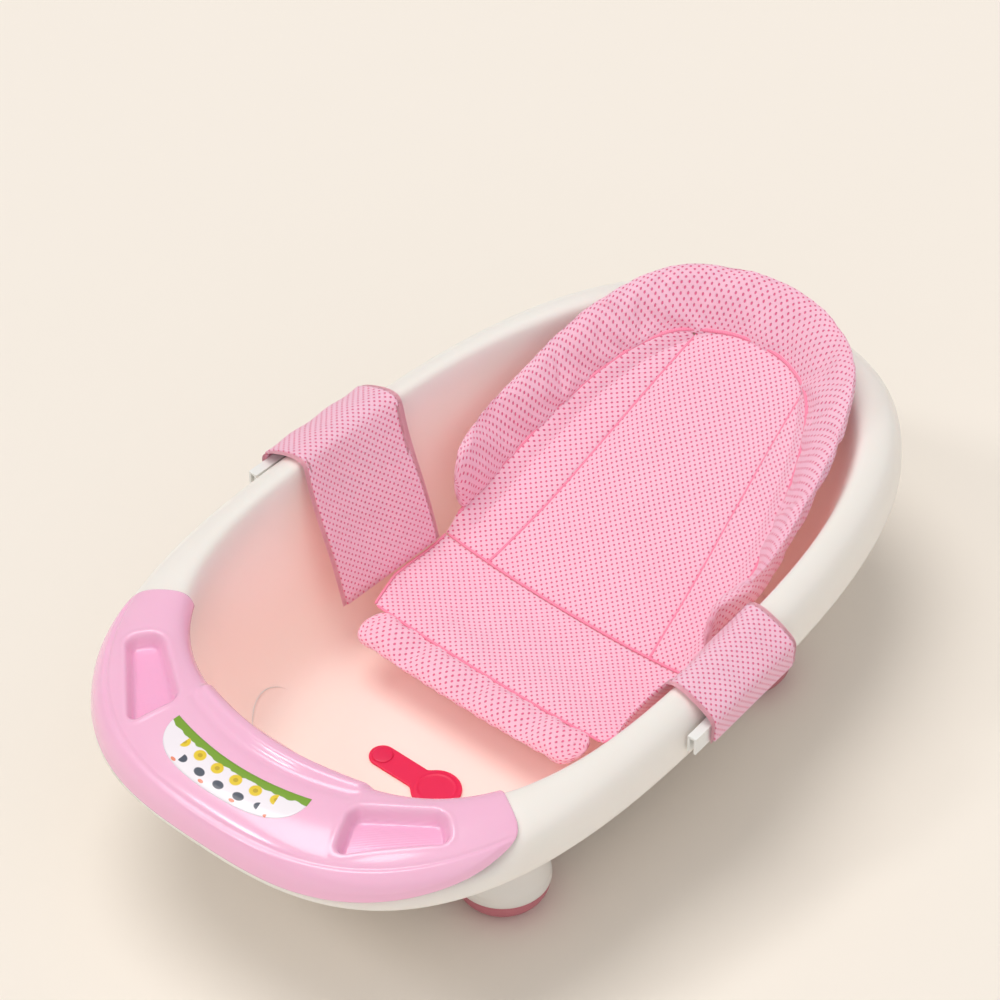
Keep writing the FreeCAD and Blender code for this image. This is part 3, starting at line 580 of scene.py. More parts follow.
def console():
    """The rim's skin raised inside the console's outline, with a quarter-round border."""
    t = np.linspace(0.0, 1.0, 126)
    half, v = spline(CONSOLE_END, t).T
    half = np.radians(half)
    u = np.sin(np.linspace(-0.5 * math.pi, 0.5 * math.pi, 361))
    u = 0.55 * u + 0.45 * np.linspace(-1.0, 1.0, 361)
    phi = u[:, None] * half[None, :]
    v = np.broadcast_to(v[None, :], phi.shape)
    base = shell_skin(math.pi + phi, v, np.zeros_like(phi))
    reach = np.hypot(base[..., 0], base[..., 1])
    run = section_length(v[0])
    slant = np.gradient(half, run)[None, :] * reach
    to_end = (half[None, :] - np.abs(phi)) * reach / np.sqrt(1.0 + slant ** 2)
    to_lip = np.broadcast_to((run - run[0])[None, :], phi.shape)
    to_skirt = np.broadcast_to((run[-1] - run)[None, :], phi.shape)
    border = np.minimum(np.minimum(to_end, to_lip), to_skirt)
    rise = np.sqrt(np.clip(1.0 - (1.0 - np.clip(border / EDGE_ROUND, 0.0, 1.0)) ** 2, 0.0, 1.0))
    below = smooth((v - crease_place(phi)) / 0.16)
    crease = 1.5 * below * smooth((to_skirt - 2.0) / 24.0) - 0.5 * np.exp(
        -((v - crease_place(phi)) / 0.07) ** 2)
    fade = smooth(to_end / 14.0)
    outer = shell_skin(math.pi + phi, v, CONSOLE_RISE * rise + crease * fade)
    inner = shell_skin(math.pi + phi, v, 0.2 * CONSOLE_RISE * rise + crease * fade)
    relief = console_relief(base[..., 0], base[..., 1]) * smooth(border / 3.0)
    relief = relief * (v < 8.3)
    outer[..., 2] += relief
    inner[..., 2] += relief
    sunk = smooth((-relief - 0.7 * DISH_DEPTH) / (0.25 * DISH_DEPTH))
    uv = np.stack([phi * 0.25, sunk], -1)
    uv = np.concatenate([uv, uv[:, ::-1]], axis=1)
    return grid_piece("foot_console_skin", sandwich(outer, inner), CONSOLE, "tub",
                      False, True, uv=uv, replaced=["foot_console"], merge=2e-5)


LABEL_CENTRE = (-120.0, 8.0)
LABEL_INNER, LABEL_WIDTH = 237.0, 33.0
LABEL_HALF = math.radians(18.5)


def label_film():
    """Polyester film printed on the back: white, a leaf-green band, yellow discs, dark ovals."""
    material, tree = start_material("printed_polyester_film")
    cloth = add(tree, "UVMap", uv_map="cloth").outputs["UV"]
    flat = add(tree, "SeparateXYZ", {"Vector": cloth})
    along = add(tree, "Math", {0: flat.outputs["X"], 1: 1000.0}, operation="MULTIPLY").outputs[0]
    across = add(tree, "Math", {0: flat.outputs["Y"], 1: 1000.0}, operation="MULTIPLY").outputs[0]
    wave = add(tree, "TexNoise", {"Vector": cloth, "Scale": 90.0, "Detail": 1.0}).outputs["Fac"]
    edge = add(tree, "Math", {0: wave, 1: -7.0, 2: across}, operation="MULTIPLY_ADD").outputs[0]
    band = add(tree, "MapRange", {"Value": edge, "From Min": 4.2, "From Max": 3.6}).outputs["Result"]
    painted = add(tree, "Mix", {"Factor": band, "A": colour("#F6EEF4"), "B": colour("#7BA428")},
                  data_type="RGBA").outputs["Result"]
    # (first place along, pitch, how many half pitches either side, place across, two radii, colour)
    rows = [(0.0, 20.0, 2.5, 12.5, 5.6, 5.2, "#EBCB1E"), (0.0, 20.0, 2.5, 12.5, 2.2, 2.0, "#C9A80F"),
            (-9.0, 20.0, 2.0, 24.0, 5.0, 3.6, "#3C4456"), (3.0, 31.0, 1.6, 29.5, 2.6, 1.4, "#EE8A6A")]
    for start, pitch, reach, centre, half_long, half_wide, code in rows:
        turn = add(tree, "Math", {0: along, 1: -start}, operation="ADD").outputs[0]
        nearest = add(tree, "Math", {0: turn, 1: pitch}, operation="SNAP").outputs[0]
        local = add(tree, "Math", {0: turn, 1: nearest}, operation="SUBTRACT").outputs[0]
        x = add(tree, "Math", {0: local, 1: -0.5 * pitch}, operation="ADD").outputs[0]
        x = add(tree, "Math", {0: x, 1: 1.0 / half_long}, operation="MULTIPLY").outputs[0]
        y = add(tree, "Math", {0: across, 1: -centre}, operation="ADD").outputs[0]
        y = add(tree, "Math", {0: y, 1: 1.0 / half_wide}, operation="MULTIPLY").outputs[0]
        size = add(tree, "VectorMath", {0: add(tree, "CombineXYZ", {"X": x, "Y": y}).outputs[0]},
                   operation="LENGTH").outputs["Value"]
        spot = add(tree, "MapRange", {"Value": size, "From Min": 1.08, "From Max": 0.92}).outputs["Result"]
        limit = add(tree, "Math", {0: along}, operation="ABSOLUTE").outputs[0]
        kept = add(tree, "Math", {0: limit, 1: reach * pitch}, operation="LESS_THAN").outputs[0]
        mask = add(tree, "Math", {0: spot, 1: kept}, operation="MULTIPLY").outputs[0]
        painted = add(tree, "Mix", {"Factor": mask, "A": painted, "B": colour(code)},
                      data_type="RGBA").outputs["Result"]
    shader = add(tree, "BsdfPrincipled", {"Base Color": painted, "Roughness": 0.28, "IOR": 1.5,
                                          "Coat Weight": 0.4})
    finish_material(tree, shader)
    return material


def temperature_label():
    """Thin film between two arcs, its outer corners rounded off; it lies 0.3 mm over the deck."""
    a = np.linspace(-1.0, 1.0, 121)
    width = LABEL_WIDTH * (1.0 - np.abs(a) ** 5) ** 0.6
    share = np.linspace(0.0, 1.0, 26)[None, :]
    radius = LABEL_INNER + 1.5 * a[:, None] ** 2 + width[:, None] * share
    angle = math.pi + LABEL_HALF * a[:, None] + 0.0 * share
    x = LABEL_CENTRE[0] + radius * np.cos(angle)
    y = LABEL_CENTRE[1] + radius * np.sin(angle)
    theta, v = section_at(x, y, 4.8, 8.6)
    border = np.minimum(np.minimum(share, 1.0 - share) * width[:, None], 4.0) / 4.0
    upper = shell_skin(theta, v, CONSOLE_RISE + 0.12 + 0.33 * smooth(border * 8.0))
    lower = shell_skin(theta, v, np.full_like(x, CONSOLE_RISE - 0.2))
    along = (LABEL_INNER * LABEL_HALF * a[:, None] + 0.0 * share) * 0.001
    across = (width[:, None] * share) * 0.001
    uv = np.stack([along, across], -1)
    uv = np.concatenate([uv, uv[:, ::-1]], axis=1)
    return grid_piece("temperature_label_film", sandwich(upper, lower), label_film(), "tub",
                      False, True, uv=uv, replaced=["temperature_label"], merge=1e-5)


# ---- drain plug -----------------------------------------------------------------------------
STRAP_BOTTOM = FLOOR_TOP + 0.25
STRAP_THICKNESS = 2.6
STRAP_HALF = 12.5
LID_RADIUS = 23.0
STRAP_EDGE = 1.1           # radius of the rounded border


def plug_half_width(y):
    """Half width of lid and strap: two discs and a straight strap, melted together."""
    end = np.sqrt(np.clip(STRAP_HALF ** 2 - (y - RIVET[1]) ** 2, 0.0, None))
    arm = np.where(y > RIVET[1], end, STRAP_HALF)
    lid = np.sqrt(np.clip(LID_RADIUS ** 2 - (y - DRAIN[1]) ** 2, 0.0, None))
    arm = np.where(y < DRAIN[1], 0.0, arm)
    gap = np.clip(4.0 - np.abs(arm - lid), 0.0, 4.0)
    melt = gap ** 2 / 16.0 * smooth((y - DRAIN[1]) / 12.0)
    return np.maximum(arm, lid) + melt * smooth((RIVET[1] - y) / 20.0)


def drain_plug():
    """Flat silicone lid and strap with rounded edges and a fine raised ring over the stopper."""
    low, high = DRAIN[1] - LID_RADIUS, RIVET[1] + STRAP_HALF
    y = 0.5 * (low + high) + 0.5 * (high - low) * np.sin(np.linspace(-0.5, 0.5, 200) * math.pi)
    half = plug_half_width(y)[:, None]
    u = np.sin(np.linspace(-0.5, 0.5, 56) * math.pi)[None, :]
    x = DRAIN[0] + half * u
    yy = np.broadcast_to(y[:, None], x.shape)
    slope = np.abs(np.gradient(half[:, 0], y))[:, None]
    border = half * (1.0 - np.abs(u)) / np.sqrt(1.0 + np.minimum(slope, 8.0) ** 2)
    inwards = np.clip(border / STRAP_EDGE, 0.0, 1.0)
    round_edge = STRAP_EDGE * (1.0 - np.sqrt(np.clip(1.0 - (1.0 - inwards) ** 2, 0.0, 1.0)))
    from_drain = np.hypot(x - DRAIN[0], yy - DRAIN[1])
    ring = 0.5 * np.exp(-((from_drain - 17.5) / 1.3) ** 2)
    top = STRAP_BOTTOM + STRAP_THICKNESS - round_edge + ring * smooth(border / 2.5)
    upper = np.stack([x, yy, top], -1)
    lower = np.stack([x, yy, np.full_like(x, STRAP_BOTTOM) + 0.5 * round_edge], -1)
    obj = grid_piece("drain_plug_silicone", sandwich(upper, lower), SILICONE, None,
                     False, True, replaced=["drain_plug", "plug_anchor"], merge=1e-5)
    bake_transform(obj)
    stopper = [(0.0, 0.0), (10.4, 0.0), (10.4, -5.0), (11.0, -6.0), (12.6, -6.3), (13.8, -5.6),
               (14.6, -0.6), (14.8, 0.4), (0.0, 0.4)]
    revolve("drain_plug_stopper", stopper, (*DRAIN, STRAP_BOTTOM), SILICONE, "plug")
    head = [(0.0, 0.0), (9.4, 0.0), (9.6, 0.5), (9.2, 1.0), (8.2, 1.25), (4.0, 1.35), (0.0, 1.4)]
    revolve("plug_rivet_head", head, (*RIVET, STRAP_BOTTOM + STRAP_THICKNESS - 0.1), SILICONE, "tub",
            replaced=["plug_rivet"])
    return obj


def revolve(name, profile, centre, material, body, replaced=()):
    """Closed body of revolution about an upright axis through a centre; the profile is (r, z)."""
    turn = np.linspace(0.0, 2.0 * math.pi, 72, endpoint=False)[:, None]
    r, z = np.array(profile).T
    ring = np.stack([centre[0] + r * np.cos(turn), centre[1] + r * np.sin(turn),
                     centre[2] + z + 0.0 * turn], -1)
    return grid_piece(name, ring, material, body, True, False, replaced=replaced, merge=1e-6)


# ---- bath net -------------------------------------------------------------------------------
SEAT_FRONT, SEAT_REAR = -42.0, 70.0
NET_HALF_WIDTH = 148.0
COLLAR_APEX = 349.0
COLLAR_POWER = 2.4
COLLAR_START = 84.0
SEAM_LIFT = 9.0
COLLAR_HALF_WIDE = 31.5
PANEL_FOOT, PANEL_HEAD = 95.0, 62.0
# Height of the net along its middle and along its side seams, as (x, height)
MIDDLE_LINE = [(-82.0, 77.0), (-42.0, 84.0), (10.0, 77.0), (70.0, 79.0), (130.0, 100.0),
               (210.0, 141.0), (290.0, 182.0), (350.0, 212.0)]
SIDE_LINE = [(-82.0, 86.0), (-42.0, 89.0), (10.0, 87.0), (70.0, 89.0), (100.0, 102.0), (130.0, 114.0),
             (165.0, 130.0), (210.0, 154.0), (250.0, 176.0), (290.0, 194.0), (350.0, 212.0)]


def round_off(ratio):
    """Other coordinate of a unit super-ellipse as round as the collar."""
    return (1.0 - np.clip(ratio, 0.0, 1.0) ** COLLAR_POWER) ** (1.0 / COLLAR_POWER)


def seam_half_width(x):
    """Half width of the net: straight sides at the seat, a super-ellipse towards the head."""
    return np.where(x <= 0.0, NET_HALF_WIDTH + 0.3 * x, NET_HALF_WIDTH * round_off(x / COLLAR_APEX))


def net_height(x, y):
    """Height of the hanging net: low in the middle, rising to its side seams and the collar."""
    share = np.clip(np.abs(y) / np.maximum(seam_half_width(x), 1.0), 0.0, 1.0)
    middle, side = curve_through(MIDDLE_LINE, x), curve_through(SIDE_LINE, x)
    collar = collar_lift(x) * smooth((x - SEAT_REAR) / 20.0) * smooth((share - 0.86) / 0.12)
    return middle + (side - middle) * share ** 2.2 + collar


def collar_lift(x):
    """Height of the collar's seam over the net's side line; none at the head end."""
    return SEAM_LIFT * smooth((COLLAR_APEX - x) / 40.0)


def ripples(x, y, size):
    """Shallow uneven rises of cloth under tension: a few crossed sine waves of set phases."""
    return size * (np.sin(x / 13.0 + 1.3 * np.sin(y / 31.0)) * np.sin(y / 17.0 + 0.7)
                   + 0.6 * np.sin((x + 1.7 * y) / 23.0 + 0.4) + 0.4 * np.sin((2.1 * x - y) / 19.0))


def net_pad(name, x, y, puff, replaced, ease=0.45):
    """Quilted panel over places in plan: thin at its seams and crowned between them."""
    rows, columns = x.shape
    u = np.linspace(0.0, 1.0, rows)[:, None]
    v = np.linspace(0.0, 1.0, columns)[None, :]
    middle = np.stack([x, y, net_height(x, y)], -1)
    normal = unit(np.cross(np.gradient(middle, axis=0), np.gradient(middle, axis=1)))
    normal *= np.sign(normal[..., 2:])
    crown = (4.0 * u * (1.0 - u)) ** ease * (4.0 * v * (1.0 - v)) ** ease
    lift = 0.7 + (puff + ripples(x, y, 0.55)) * crown
    upper = middle + normal * lift[..., None]
    lower = middle - normal * (0.7 + 0.9 * crown)[..., None]
    run_u = np.cumsum(np.linalg.norm(np.diff(middle, axis=0, prepend=middle[:1]), axis=-1), axis=0)
    run_v = np.cumsum(np.linalg.norm(np.diff(middle, axis=1, prepend=middle[:, :1]), axis=-1), axis=1)
    uv = np.stack([run_u - run_u[rows // 2], run_v], -1) * 0.001
    uv = np.concatenate([uv, uv[:, ::-1]], axis=1)
    obj = grid_piece(name, sandwich(upper, lower), MESH, "tub", False, True, uv=uv,
                     replaced=replaced, capped=True)
    return obj


def seat_panel():
    """Panel between the seat's two seams: straight lines across, as wide as the net."""
    v = np.linspace(0.0, 1.0, 90)[None, :]
    u = np.linspace(-1.0, 1.0, 150)[:, None]
    x = SEAT_FRONT + 1.0 + (SEAT_REAR - SEAT_FRONT - 2.0) * v + 0.0 * u
    y = u * (seam_half_width(x) - 3.0)
    return net_pad("seat_panel_cloth", x, y, 4.0, ["seat_panel"])


def panel_edge(v):
    """Half width of the back's centre panel: it narrows evenly from the seat to the head."""
    return PANEL_FOOT + (PANEL_HEAD - PANEL_FOOT) * v


def toward_head(y, v):
    """Place along the tub, from the seat's rear seam (v = 0) to the collar's seam (v = 1)."""
    head = COLLAR_APEX * round_off(np.abs(y) / NET_HALF_WIDTH) - 1.5
    return SEAT_REAR + (head - SEAT_REAR) * v


def back_panel():
    """Centre panel of the back: lines run from the seat's seam to the collar's, narrowing evenly."""
    v = np.linspace(0.004, 1.0, 180)[None, :]
    u = np.linspace(-1.0, 1.0, 110)[:, None]
    y = u * (panel_edge(v) - 0.1)
    x = toward_head(y, v)
    return net_pad("back_panel_cloth", x, y, 5.5, ["back_panel"], ease=0.35)


def back_gore(side, hand):
    """Panel between the centre panel's edge and the collar's seam: straight lines across."""
    v = np.linspace(0.004, 0.985, 170)
    edge = panel_edge(v)
    x = toward_head(edge, v)[None, :] + np.zeros((50, 1))
    u = np.linspace(0.0, 1.0, 50)[:, None]
    inner, outer = edge + 0.1, seam_half_width(x) - 1.0
    y = side * (inner + (np.maximum(outer, inner + 3.0) - inner) * u)
    return net_pad("back_gore_%s_cloth" % hand, x, y, 4.0, ["back_gore_" + hand], ease=0.35)


# ---- padded rolls ---------------------------------------------------------------------------
ROLL_END = 16.0            # length of a roll's rounded end
ROLL_HALF_THICK = 8.5
COLLAR_RIM = (385.0, 187.0)            # reach and half width of the line that the collar leans to
COLLAR_LEVEL, COLLAR_HEAD_RISE = 210.0, 44.0
COLLAR_STAND = (2.0, 8.0, 52.0)        # the way the collar's two ends stand up
FRONT_ROLL_X, FRONT_ROLL_HALF = -62.0, 128.0
FRONT_ROLL_WIDE = 21.0


def roll_piece(name, middles, across, up, half_wide, half_thick, around, replaced, cap_mm):
    """Roll with a flattened round section, blown up as cloth and held at its two seams."""
    rows = len(middles)
    along = np.concatenate([[0.0], np.cumsum(np.linalg.norm(np.diff(middles, axis=0), axis=1))])
    from_end = (1.0 - np.minimum(along, along[::-1]) / ROLL_END).clip(0.0, 1.0)
    taper = np.sqrt(np.clip(1.0 - from_end ** 2, 0.0, 1.0))
    taper = np.maximum(taper, 0.05)[:, None, None]
    a = np.linspace(0.0, 2.0 * math.pi, around, endpoint=False)[None, :, None]
    points = (middles[:, None] + across[:, None] * (half_wide * np.cos(a)) * taper
              + up[:, None] * (half_thick * np.sin(a)) * taper)
    girth = math.pi * (half_wide + half_thick)
    uv = np.stack(np.broadcast_arrays(along[:, None], np.linspace(0.0, girth, around + 1)[None, :]), -1)
    obj = grid_piece(name, points, MESH, "tub", False, True, uv=uv * 0.001,
                     replaced=replaced, capped=True)
    seam = np.zeros((rows, around))
    seam[:, [0, around // 2]] = 1.0
    seam[[0, -1]] = 1.0
    inflate(obj, seam, cap_mm)
    finish_subdivision(obj)
    return obj


def inflate(obj, held, cap_mm):
    """Cloth under pressure with its seams held; no point moves further than the cap."""
    mesh = obj.data
    count = len(mesh.vertices)
    before = np.empty(count * 3, np.float32)
    mesh.vertices.foreach_get("co", before)
    group = obj.vertex_groups.new(name="seams")
    group.add([int(k) for k in np.flatnonzero(held.ravel() > 0.5)], 1.0, "REPLACE")
    cloth = obj.modifiers.new("cloth", "CLOTH")
    cloth.settings.use_pressure = True
    cloth.settings.uniform_pressure_force = 4.0
    cloth.settings.vertex_group_mass = group.name
    cloth.settings.quality = 5
    cloth.settings.mass = 0.25
    cloth.settings.tension_stiffness = 25.0
    cloth.settings.compression_stiffness = 8.0
    cloth.settings.bending_stiffness = 0.3
    cloth.settings.shrink_min = -0.05
    cloth.settings.effector_weights.gravity = 0.0
    cloth.point_cache.frame_end = 25
    scene = bpy.context.scene
    for step in range(1, 21):
        scene.frame_set(step)
    shown = obj.evaluated_get(bpy.context.evaluated_depsgraph_get()).to_mesh()
    after = np.empty(count * 3, np.float32)
    shown.vertices.foreach_get("co", after)
    obj.modifiers.clear()
    obj.vertex_groups.clear()
    moved = (after - before).reshape(-1, 3)
    length = np.linalg.norm(moved, axis=1, keepdims=True)
    cap = cap_mm * 0.001
    moved *= cap * np.tanh(length / cap) / np.maximum(length, 1e-9)
    mesh.vertices.foreach_set("co", (before + moved.ravel()))
    mesh.update()
    scene.frame_set(1)


def finish_subdivision(obj):
    """One level of subdivision, the same on screen and in a render."""
    modifier = obj.modifiers.new("soften", "SUBSURF")
    modifier.levels = modifier.render_levels = 1


def collar_ring(apex, half_width, angle):
    """Super-ellipse in plan at an angle from the head end."""
    power = 2.0 / COLLAR_POWER
    return (apex * np.abs(np.cos(angle)) ** power,
            half_width * np.sign(angle) * np.abs(np.sin(angle)) ** power)


def collar_lines(count):
    """The collar's inner seam and a line that it leans to: over the rim, but upright at its ends."""
    end = math.acos((COLLAR_START / COLLAR_APEX) ** (0.5 * COLLAR_POWER))
    angle = np.linspace(-end, end, 2001)
    lift = smooth((np.cos(angle) - 0.15) / 0.85)
    seam_x, seam_y = collar_ring(COLLAR_APEX, NET_HALF_WIDTH - 3.0, angle)
    seam_z = curve_through(SIDE_LINE, seam_x) + collar_lift(seam_x)
    inner = np.stack([seam_x, seam_y, seam_z], -1)
    outer = np.stack([*collar_ring(*COLLAR_RIM, angle), COLLAR_LEVEL + COLLAR_HEAD_RISE * lift], -1)
    ones = np.ones_like(angle)
    upright = inner + np.stack([ones, np.sign(angle), ones], -1) * COLLAR_STAND
    turned = smooth((150.0 - seam_x) / 60.0)[:, None]
    outer = outer * (1.0 - turned) + upright * turned
    middle = inner + unit(outer - inner) * (COLLAR_HALF_WIDE - 3.0)
    run = np.concatenate([[0.0], np.cumsum(np.linalg.norm(np.diff(middle, axis=0), axis=1))])
    spots = np.interp(np.linspace(0.0, run[-1], count), run, np.arange(len(run)))
    return [np.stack([np.interp(spots, np.arange(len(run)), line[:, k]) for k in range(3)], -1)
            for line in (inner, outer)]


def head_bolster():
    """Wide flat roll round the head end, standing on its inner seam."""
    inner, outer = collar_lines(170)
    across = unit(outer - inner)
    middle = inner + across * (COLLAR_HALF_WIDE - 3.0)
    up = unit(np.cross(across, np.gradient(middle, axis=0)))
    return roll_piece("head_bolster_cover", middle, across, up, COLLAR_HALF_WIDE, ROLL_HALF_THICK, 34,
                      ["head_bolster", "head_bolster_foam"], 6.0)


def front_bolster():
    """Roll along the seat's front edge."""
    y = np.linspace(-FRONT_ROLL_HALF, FRONT_ROLL_HALF, 60)
    x = np.full_like(y, FRONT_ROLL_X)
    middle = np.stack([x, y, net_height(x, y)], -1)
    across = np.tile([1.0, 0.0, 0.0], (len(y), 1))
    up = unit(np.cross(across, np.gradient(middle, axis=0)))
    return roll_piece("front_bolster_cover", middle, across, up, FRONT_ROLL_WIDE, ROLL_HALF_THICK, 26,
                      ["front_bolster", "front_bolster_foam"], 5.0)


def piping(name, line, radius=1.3, material=PIPING, body="tub"):
    """Round cord of tape along a seam: a circle carried square to the line."""
    line = np.asarray(line)
    tangent = unit(np.gradient(line, axis=0))
    side = unit(np.cross(tangent, [0.0, 0.0, 1.0]))
    up = np.cross(side, tangent)
    a = np.linspace(0.0, 2.0 * math.pi, 10, endpoint=False)[None, :, None]
    run = np.concatenate([[0.0], np.cumsum(np.linalg.norm(np.diff(line, axis=0), axis=1))])
    shrink = np.minimum(1.0, 0.15 + np.minimum(run, run[-1] - run) / radius)[:, None, None]
    points = line[:, None] + radius * shrink * (side[:, None] * np.cos(a) + up[:, None] * np.sin(a))
    uv = np.stack(np.broadcast_arrays(run[:, None], np.linspace(0.0, 6.28 * radius, 11)[None]), -1)
    return grid_piece(name, points, material, body, False, True, uv=uv * 0.001,
                      capped=True)


def seams():
    """Deep pink piping over every seam of the net."""
    lift = 0.9
    inner, outer = collar_lines(260)
    piping("collar_seam_piping", inner - unit(outer - inner) * 1.2 + [0.0, 0.0, 1.6], 1.9)
    for hand, side in (("right", 1.0), ("left", -1.0)):
        v = np.linspace(0.0, 0.985, 120)
        y = side * panel_edge(v)
        x = toward_head(y, v)
        piping("back_seam_piping_" + hand, np.stack([x, y, net_height(x, y) + lift], -1), 1.5)
        x = np.linspace(SEAT_FRONT, SEAT_REAR, 40)
        y = side * (seam_half_width(x) - 2.0)
        piping("seat_side_piping_" + hand, np.stack([x, y, net_height(x, y) + lift], -1))
    for name, x0 in (("seat_rear_piping", SEAT_REAR), ("seat_front_piping", SEAT_FRONT)):
        y = np.linspace(-1.0, 1.0, 110) * float(seam_half_width(np.array(x0)) - 4.0)
        x = np.full_like(y, x0)
        piping(name, np.stack([x, y, net_height(x, y) + lift + 0.4], -1))


# ---- side flaps and clips -------------------------------------------------------------------
FLAP_FRONT, FLAP_REAR, FLAP_LEAN = -50.0, 75.0, -14.0
BINDING = 8.0
FLAP_MIDDLE = 0.5 * (FLAP_FRONT + FLAP_REAR)
RIM_AT_FLAP = 243.0 * (1.0 + TAPER * FLAP_MIDDLE) + 0.6
RIM_SLOPE = 243.0 * TAPER
# The flap's section from the seat over the rim and down outside the hook bar:
# (distance outside the apron, height)
FLAP_SECTION = [(-95.0, 91.0), (-84.0, 136.0), (-63.0, 177.0), (-46.0, 209.0), (-38.0, 223.0),
                (-24.0, 223.5), (-11.0, 219.0), (2.0, 213.0), (10.5, 207.0), (12.9, 202.0),
                (12.9, 197.0), (12.4, 190.0), (12.2, 184.5), (12.1, 179.5)]
HOOKS = {"right": 1.0, "left": -1.0}


def flap_surface(share, t, off):
    """Cloth over the rim: the section carried along the rim's side, leaning to the foot below.

    The cloth is moved off along the section's normal, read along the grid's columns.
    """
    section = spline(FLAP_SECTION, t)
    lean = FLAP_LEAN * (1.0 - smooth(t * 13.0 / 4.0))
    ease = np.gradient(section, axis=1)
    x = FLAP_FRONT + (FLAP_REAR - FLAP_FRONT) * share + lean
    normal = unit(np.stack([-ease[..., 1], ease[..., 0]], -1))
    outside = section[..., 0] + normal[..., 0] * off
    height = section[..., 1] + normal[..., 1] * off
    y = RIM_AT_FLAP + RIM_SLOPE * (x - FLAP_MIDDLE) + outside
    return np.stack([x + 0.0 * y, y, height], -1)


def flap_fold(share, t):
    """Soft creases of the hanging cloth: one long diagonal hollow and a few faint pulls."""
    hanging = smooth((0.42 - t) / 0.2) * smooth(t / 0.05)
    sag = -5.0 * np.sin(math.pi * share) * hanging
    pull = 1.1 * np.sin(9.0 * share + 14.0 * t) * hanging
    over = 0.7 * np.sin(17.0 * share + 3.0) * smooth((0.9 - t) / 0.3) * smooth((t - 0.35) / 0.2)
    return sag + pull + over


def flap(side, hand):
    """Mesh cloth of one flap: the flap's surface moved half a thickness to either side."""
    edge = BINDING / (FLAP_REAR - FLAP_FRONT)
    share = np.linspace(edge * 0.6, 1.0 - edge * 0.6, 90)[:, None]
    t = np.linspace(0.0, 1.0, 170)[None, :]
    share, t = np.broadcast_arrays(share, t)
    fold = flap_fold(share, t)
    upper, lower = flap_surface(share, t, fold + 1.4), flap_surface(share, t, fold - 1.4)
    points = sandwich(upper, lower) * [1.0, side, 1.0]
    section = spline(FLAP_SECTION, t[0])
    run = np.concatenate([[0.0], np.cumsum(np.linalg.norm(np.diff(section, axis=0), axis=1))])
    wide = (share - 0.5) * (FLAP_REAR - FLAP_FRONT)
    uv = np.stack([wide, np.broadcast_to(run[None], wide.shape)], -1) * 0.001
    uv = np.concatenate([uv, uv[:, ::-1]], axis=1)
    obj = grid_piece("flap_%s_cloth" % hand, points, MESH, None, False, True, uv=uv,
                     replaced=["flap_" + hand, "flap_tail_" + hand], capped=True)
    blend_to_hook(obj)
    return obj


def blend_to_hook(obj):
    """Bakes the piece's placement into its mesh points."""
    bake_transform(obj)


def binding(side, hand, front):
    """Tape folded round the flap's edge: half a super-ellipse carried along the flap's section.

    The tape's grid has the section along its rows, where flap_surface reads no slope, so the two
    faces of the fold lie pressed together in the middle of the cloth's edge.
    """
    width = BINDING / (FLAP_REAR - FLAP_FRONT)
    t = np.linspace(0.0, 1.0, 170)[:, None]
    a = np.linspace(-0.5, 0.5, 19)[None, :] * math.pi

    def fold(reach, half_thick):
        """The tape's outside or inside face, from one border round the fold to the other."""
        share = width - reach * np.abs(np.cos(a)) ** 0.4
        share = np.broadcast_to(share if front else 1.0 - share, (t.size, a.size))
        thick = half_thick * np.sign(np.sin(a)) * np.abs(np.sin(a)) ** 0.5
        return flap_surface(share, np.broadcast_to(t, share.shape), flap_fold(share, t) + thick)

    outside, inside = fold(width, 2.2), fold(0.94 * width, 1.6)
    run = np.concatenate([[0.0], np.cumsum(np.linalg.norm(np.diff(outside[:, 9], axis=0), axis=1))])
    uv = np.stack(np.broadcast_arrays(run[:, None], np.linspace(-9.0, 9.0, a.size)[None]), -1) * 0.001
    uv = np.concatenate([uv, uv[:, ::-1]], axis=1)
    end = "front" if front else "rear"
    obj = grid_piece("flap_binding_%s_%s_tape" % (end, hand), sandwich(outside, inside) * [1.0, side, 1.0],
                     TAPE, None, False, True, uv=uv,
                     replaced=["flap_binding_%s_%s" % (end, hand)], capped=True)
    blend_to_hook(obj)
    return obj


# ---- build ----------------------------------------------------------------------------------
tub_shell()
for end, (x, y) in FOOT_PLACES.items():
    leg("leg_%s_right" % end, x, y)
    leg("leg_%s_left" % end, x, -y)
console()
temperature_label()
drain_plug()
seat_panel()
back_panel()
for hand, side in HOOKS.items():
    back_gore(side, hand)
    flap(side, hand)
    binding(side, hand, True)
    binding(side, hand, False)
head_bolster()
front_bolster()
seams()

for node, material in {"console_screws": ZINC, "hook_bar_left": CLIP, "hook_bar_right": CLIP,
                       "foot_pad_front_left": RUBBER, "foot_pad_front_right": RUBBER,
                       "foot_pad_rear_left": RUBBER, "foot_pad_rear_right": RUBBER}.items():
    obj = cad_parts[node]
    obj.data.materials.clear()
    obj.data.materials.append(material)


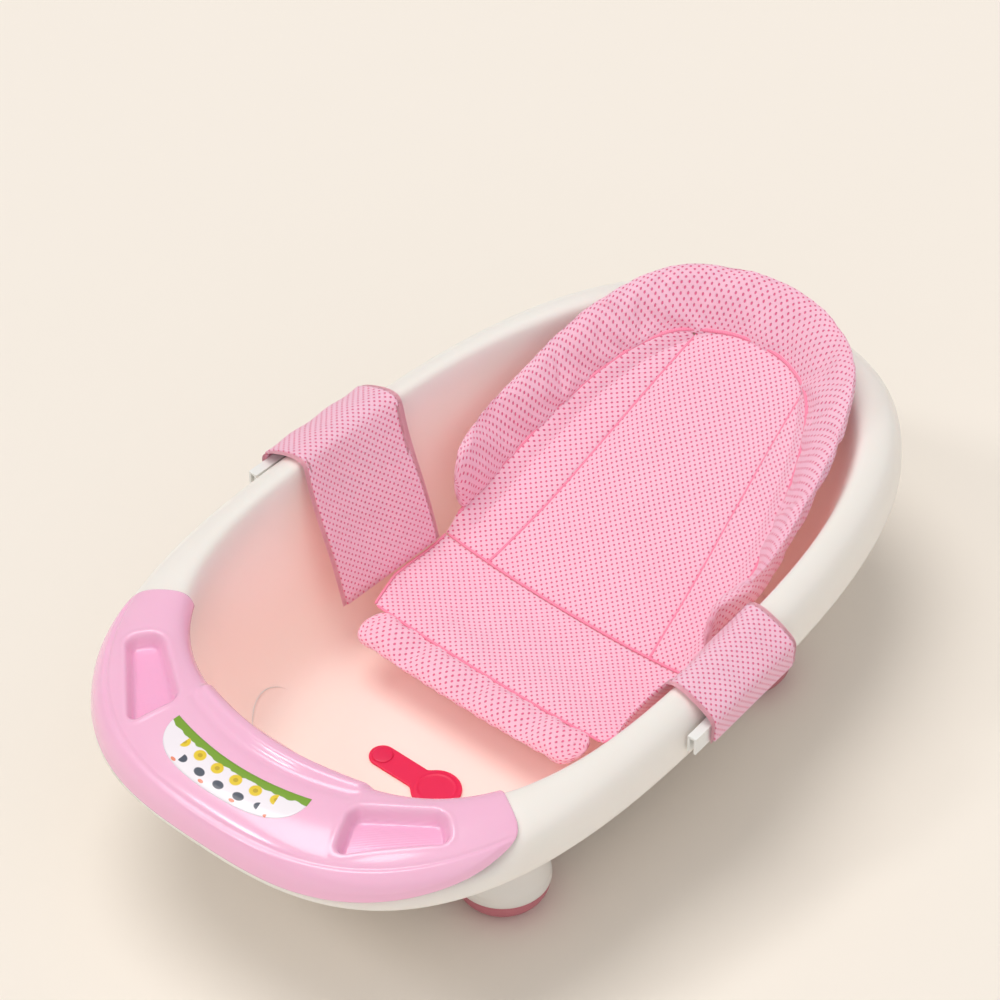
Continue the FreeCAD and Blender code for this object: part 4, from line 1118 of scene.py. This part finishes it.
# ---- floor, light and camera ----------------------------------------------------------------
def studio():
    """Pale floor under an even sky; soft suns from the far side, above the foot end and low over it."""
    material, tree = start_material("matt_paper_cream")
    place = add(tree, "TexCoord").outputs["Object"]
    cloud = add(tree, "TexNoise", {"Vector": place, "Scale": 2.0, "Detail": 2.0})
    tint = add(tree, "Mix", {"Factor": cloud.outputs["Fac"], "A": colour("#F5EDE3"),
                             "B": colour("#F4ECE1")}, data_type="RGBA")
    finish_material(tree, add(tree, "BsdfPrincipled", {
        "Base Color": tint.outputs["Result"], "Roughness": 0.95, "Specular IOR Level": 0.1}))
    u = np.linspace(-4.0, 4.0, 9)
    points = np.stack(np.meshgrid(u, u, [0.0], indexing="ij"), -1)[:, :, 0]
    mesh = bpy.data.meshes.new("floor")
    mesh.from_pydata(points.reshape(-1, 3).tolist(), [], quads(9, 9, False, False).tolist())
    mesh.materials.append(material)
    floor = bpy.data.objects.new("floor", mesh)
    bpy.context.scene.collection.objects.link(floor)

    # name, bearing and elevation in degrees, spread in degrees, strength, colour
    for name, bearing, elevation, spread, strength, code in (
            ("key", 100.0, 77.0, 34.0, 1.25, "#FFFCF8"), ("fill", 235.0, 45.0, 90.0, 0.60, "#FFFFFF"),
            ("gleam", 142.0, 48.0, 10.0, 0.35, "#FFFFFF")):
        light = bpy.data.lights.new(name, "SUN")
        light.energy = strength
        light.angle = math.radians(spread)
        light.color = colour(code)[:3]
        lamp = bpy.data.objects.new(name, light)
        bearing, elevation = math.radians(bearing), math.radians(elevation)
        towards = Vector((math.cos(bearing) * math.cos(elevation),
                          math.sin(bearing) * math.cos(elevation), math.sin(elevation)))
        lamp.rotation_mode = "QUATERNION"
        lamp.rotation_quaternion = towards.to_track_quat("Z", "Y")
        bpy.context.scene.collection.objects.link(lamp)
    world = bpy.data.worlds.new("studio")
    world.use_nodes = True
    world.node_tree.nodes["Background"].inputs["Color"].default_value = colour("#FDFDFE")
    world.node_tree.nodes["Background"].inputs["Strength"].default_value = 0.42
    bpy.context.scene.world = world


def camera():
    """Long lens, looking down from the foot end's left, at the whole tub."""
    azimuth, elevation = math.radians(-49.61), math.radians(43.74)
    back = Vector((math.sin(azimuth) * math.cos(elevation), -math.cos(azimuth) * math.cos(elevation),
                   math.sin(elevation)))
    right = Vector((math.cos(azimuth), math.sin(azimuth), 0.0))
    target = Vector((0.0, 0.0, 0.12)) - right * 0.0158 + back.cross(right) * 0.1099
    lens = bpy.data.cameras.new("camera")
    lens.lens = 189.57
    lens.sensor_width = 36.0
    view = bpy.data.objects.new("camera", lens)
    view.rotation_mode = "QUATERNION"
    view.location = target + back * 4.695
    view.rotation_quaternion = (-back).to_track_quat("-Z", "Y")
    bpy.context.scene.collection.objects.link(view)
    bpy.context.scene.camera = view


studio()
camera()
bpy.context.scene.view_settings.view_transform = "Standard"
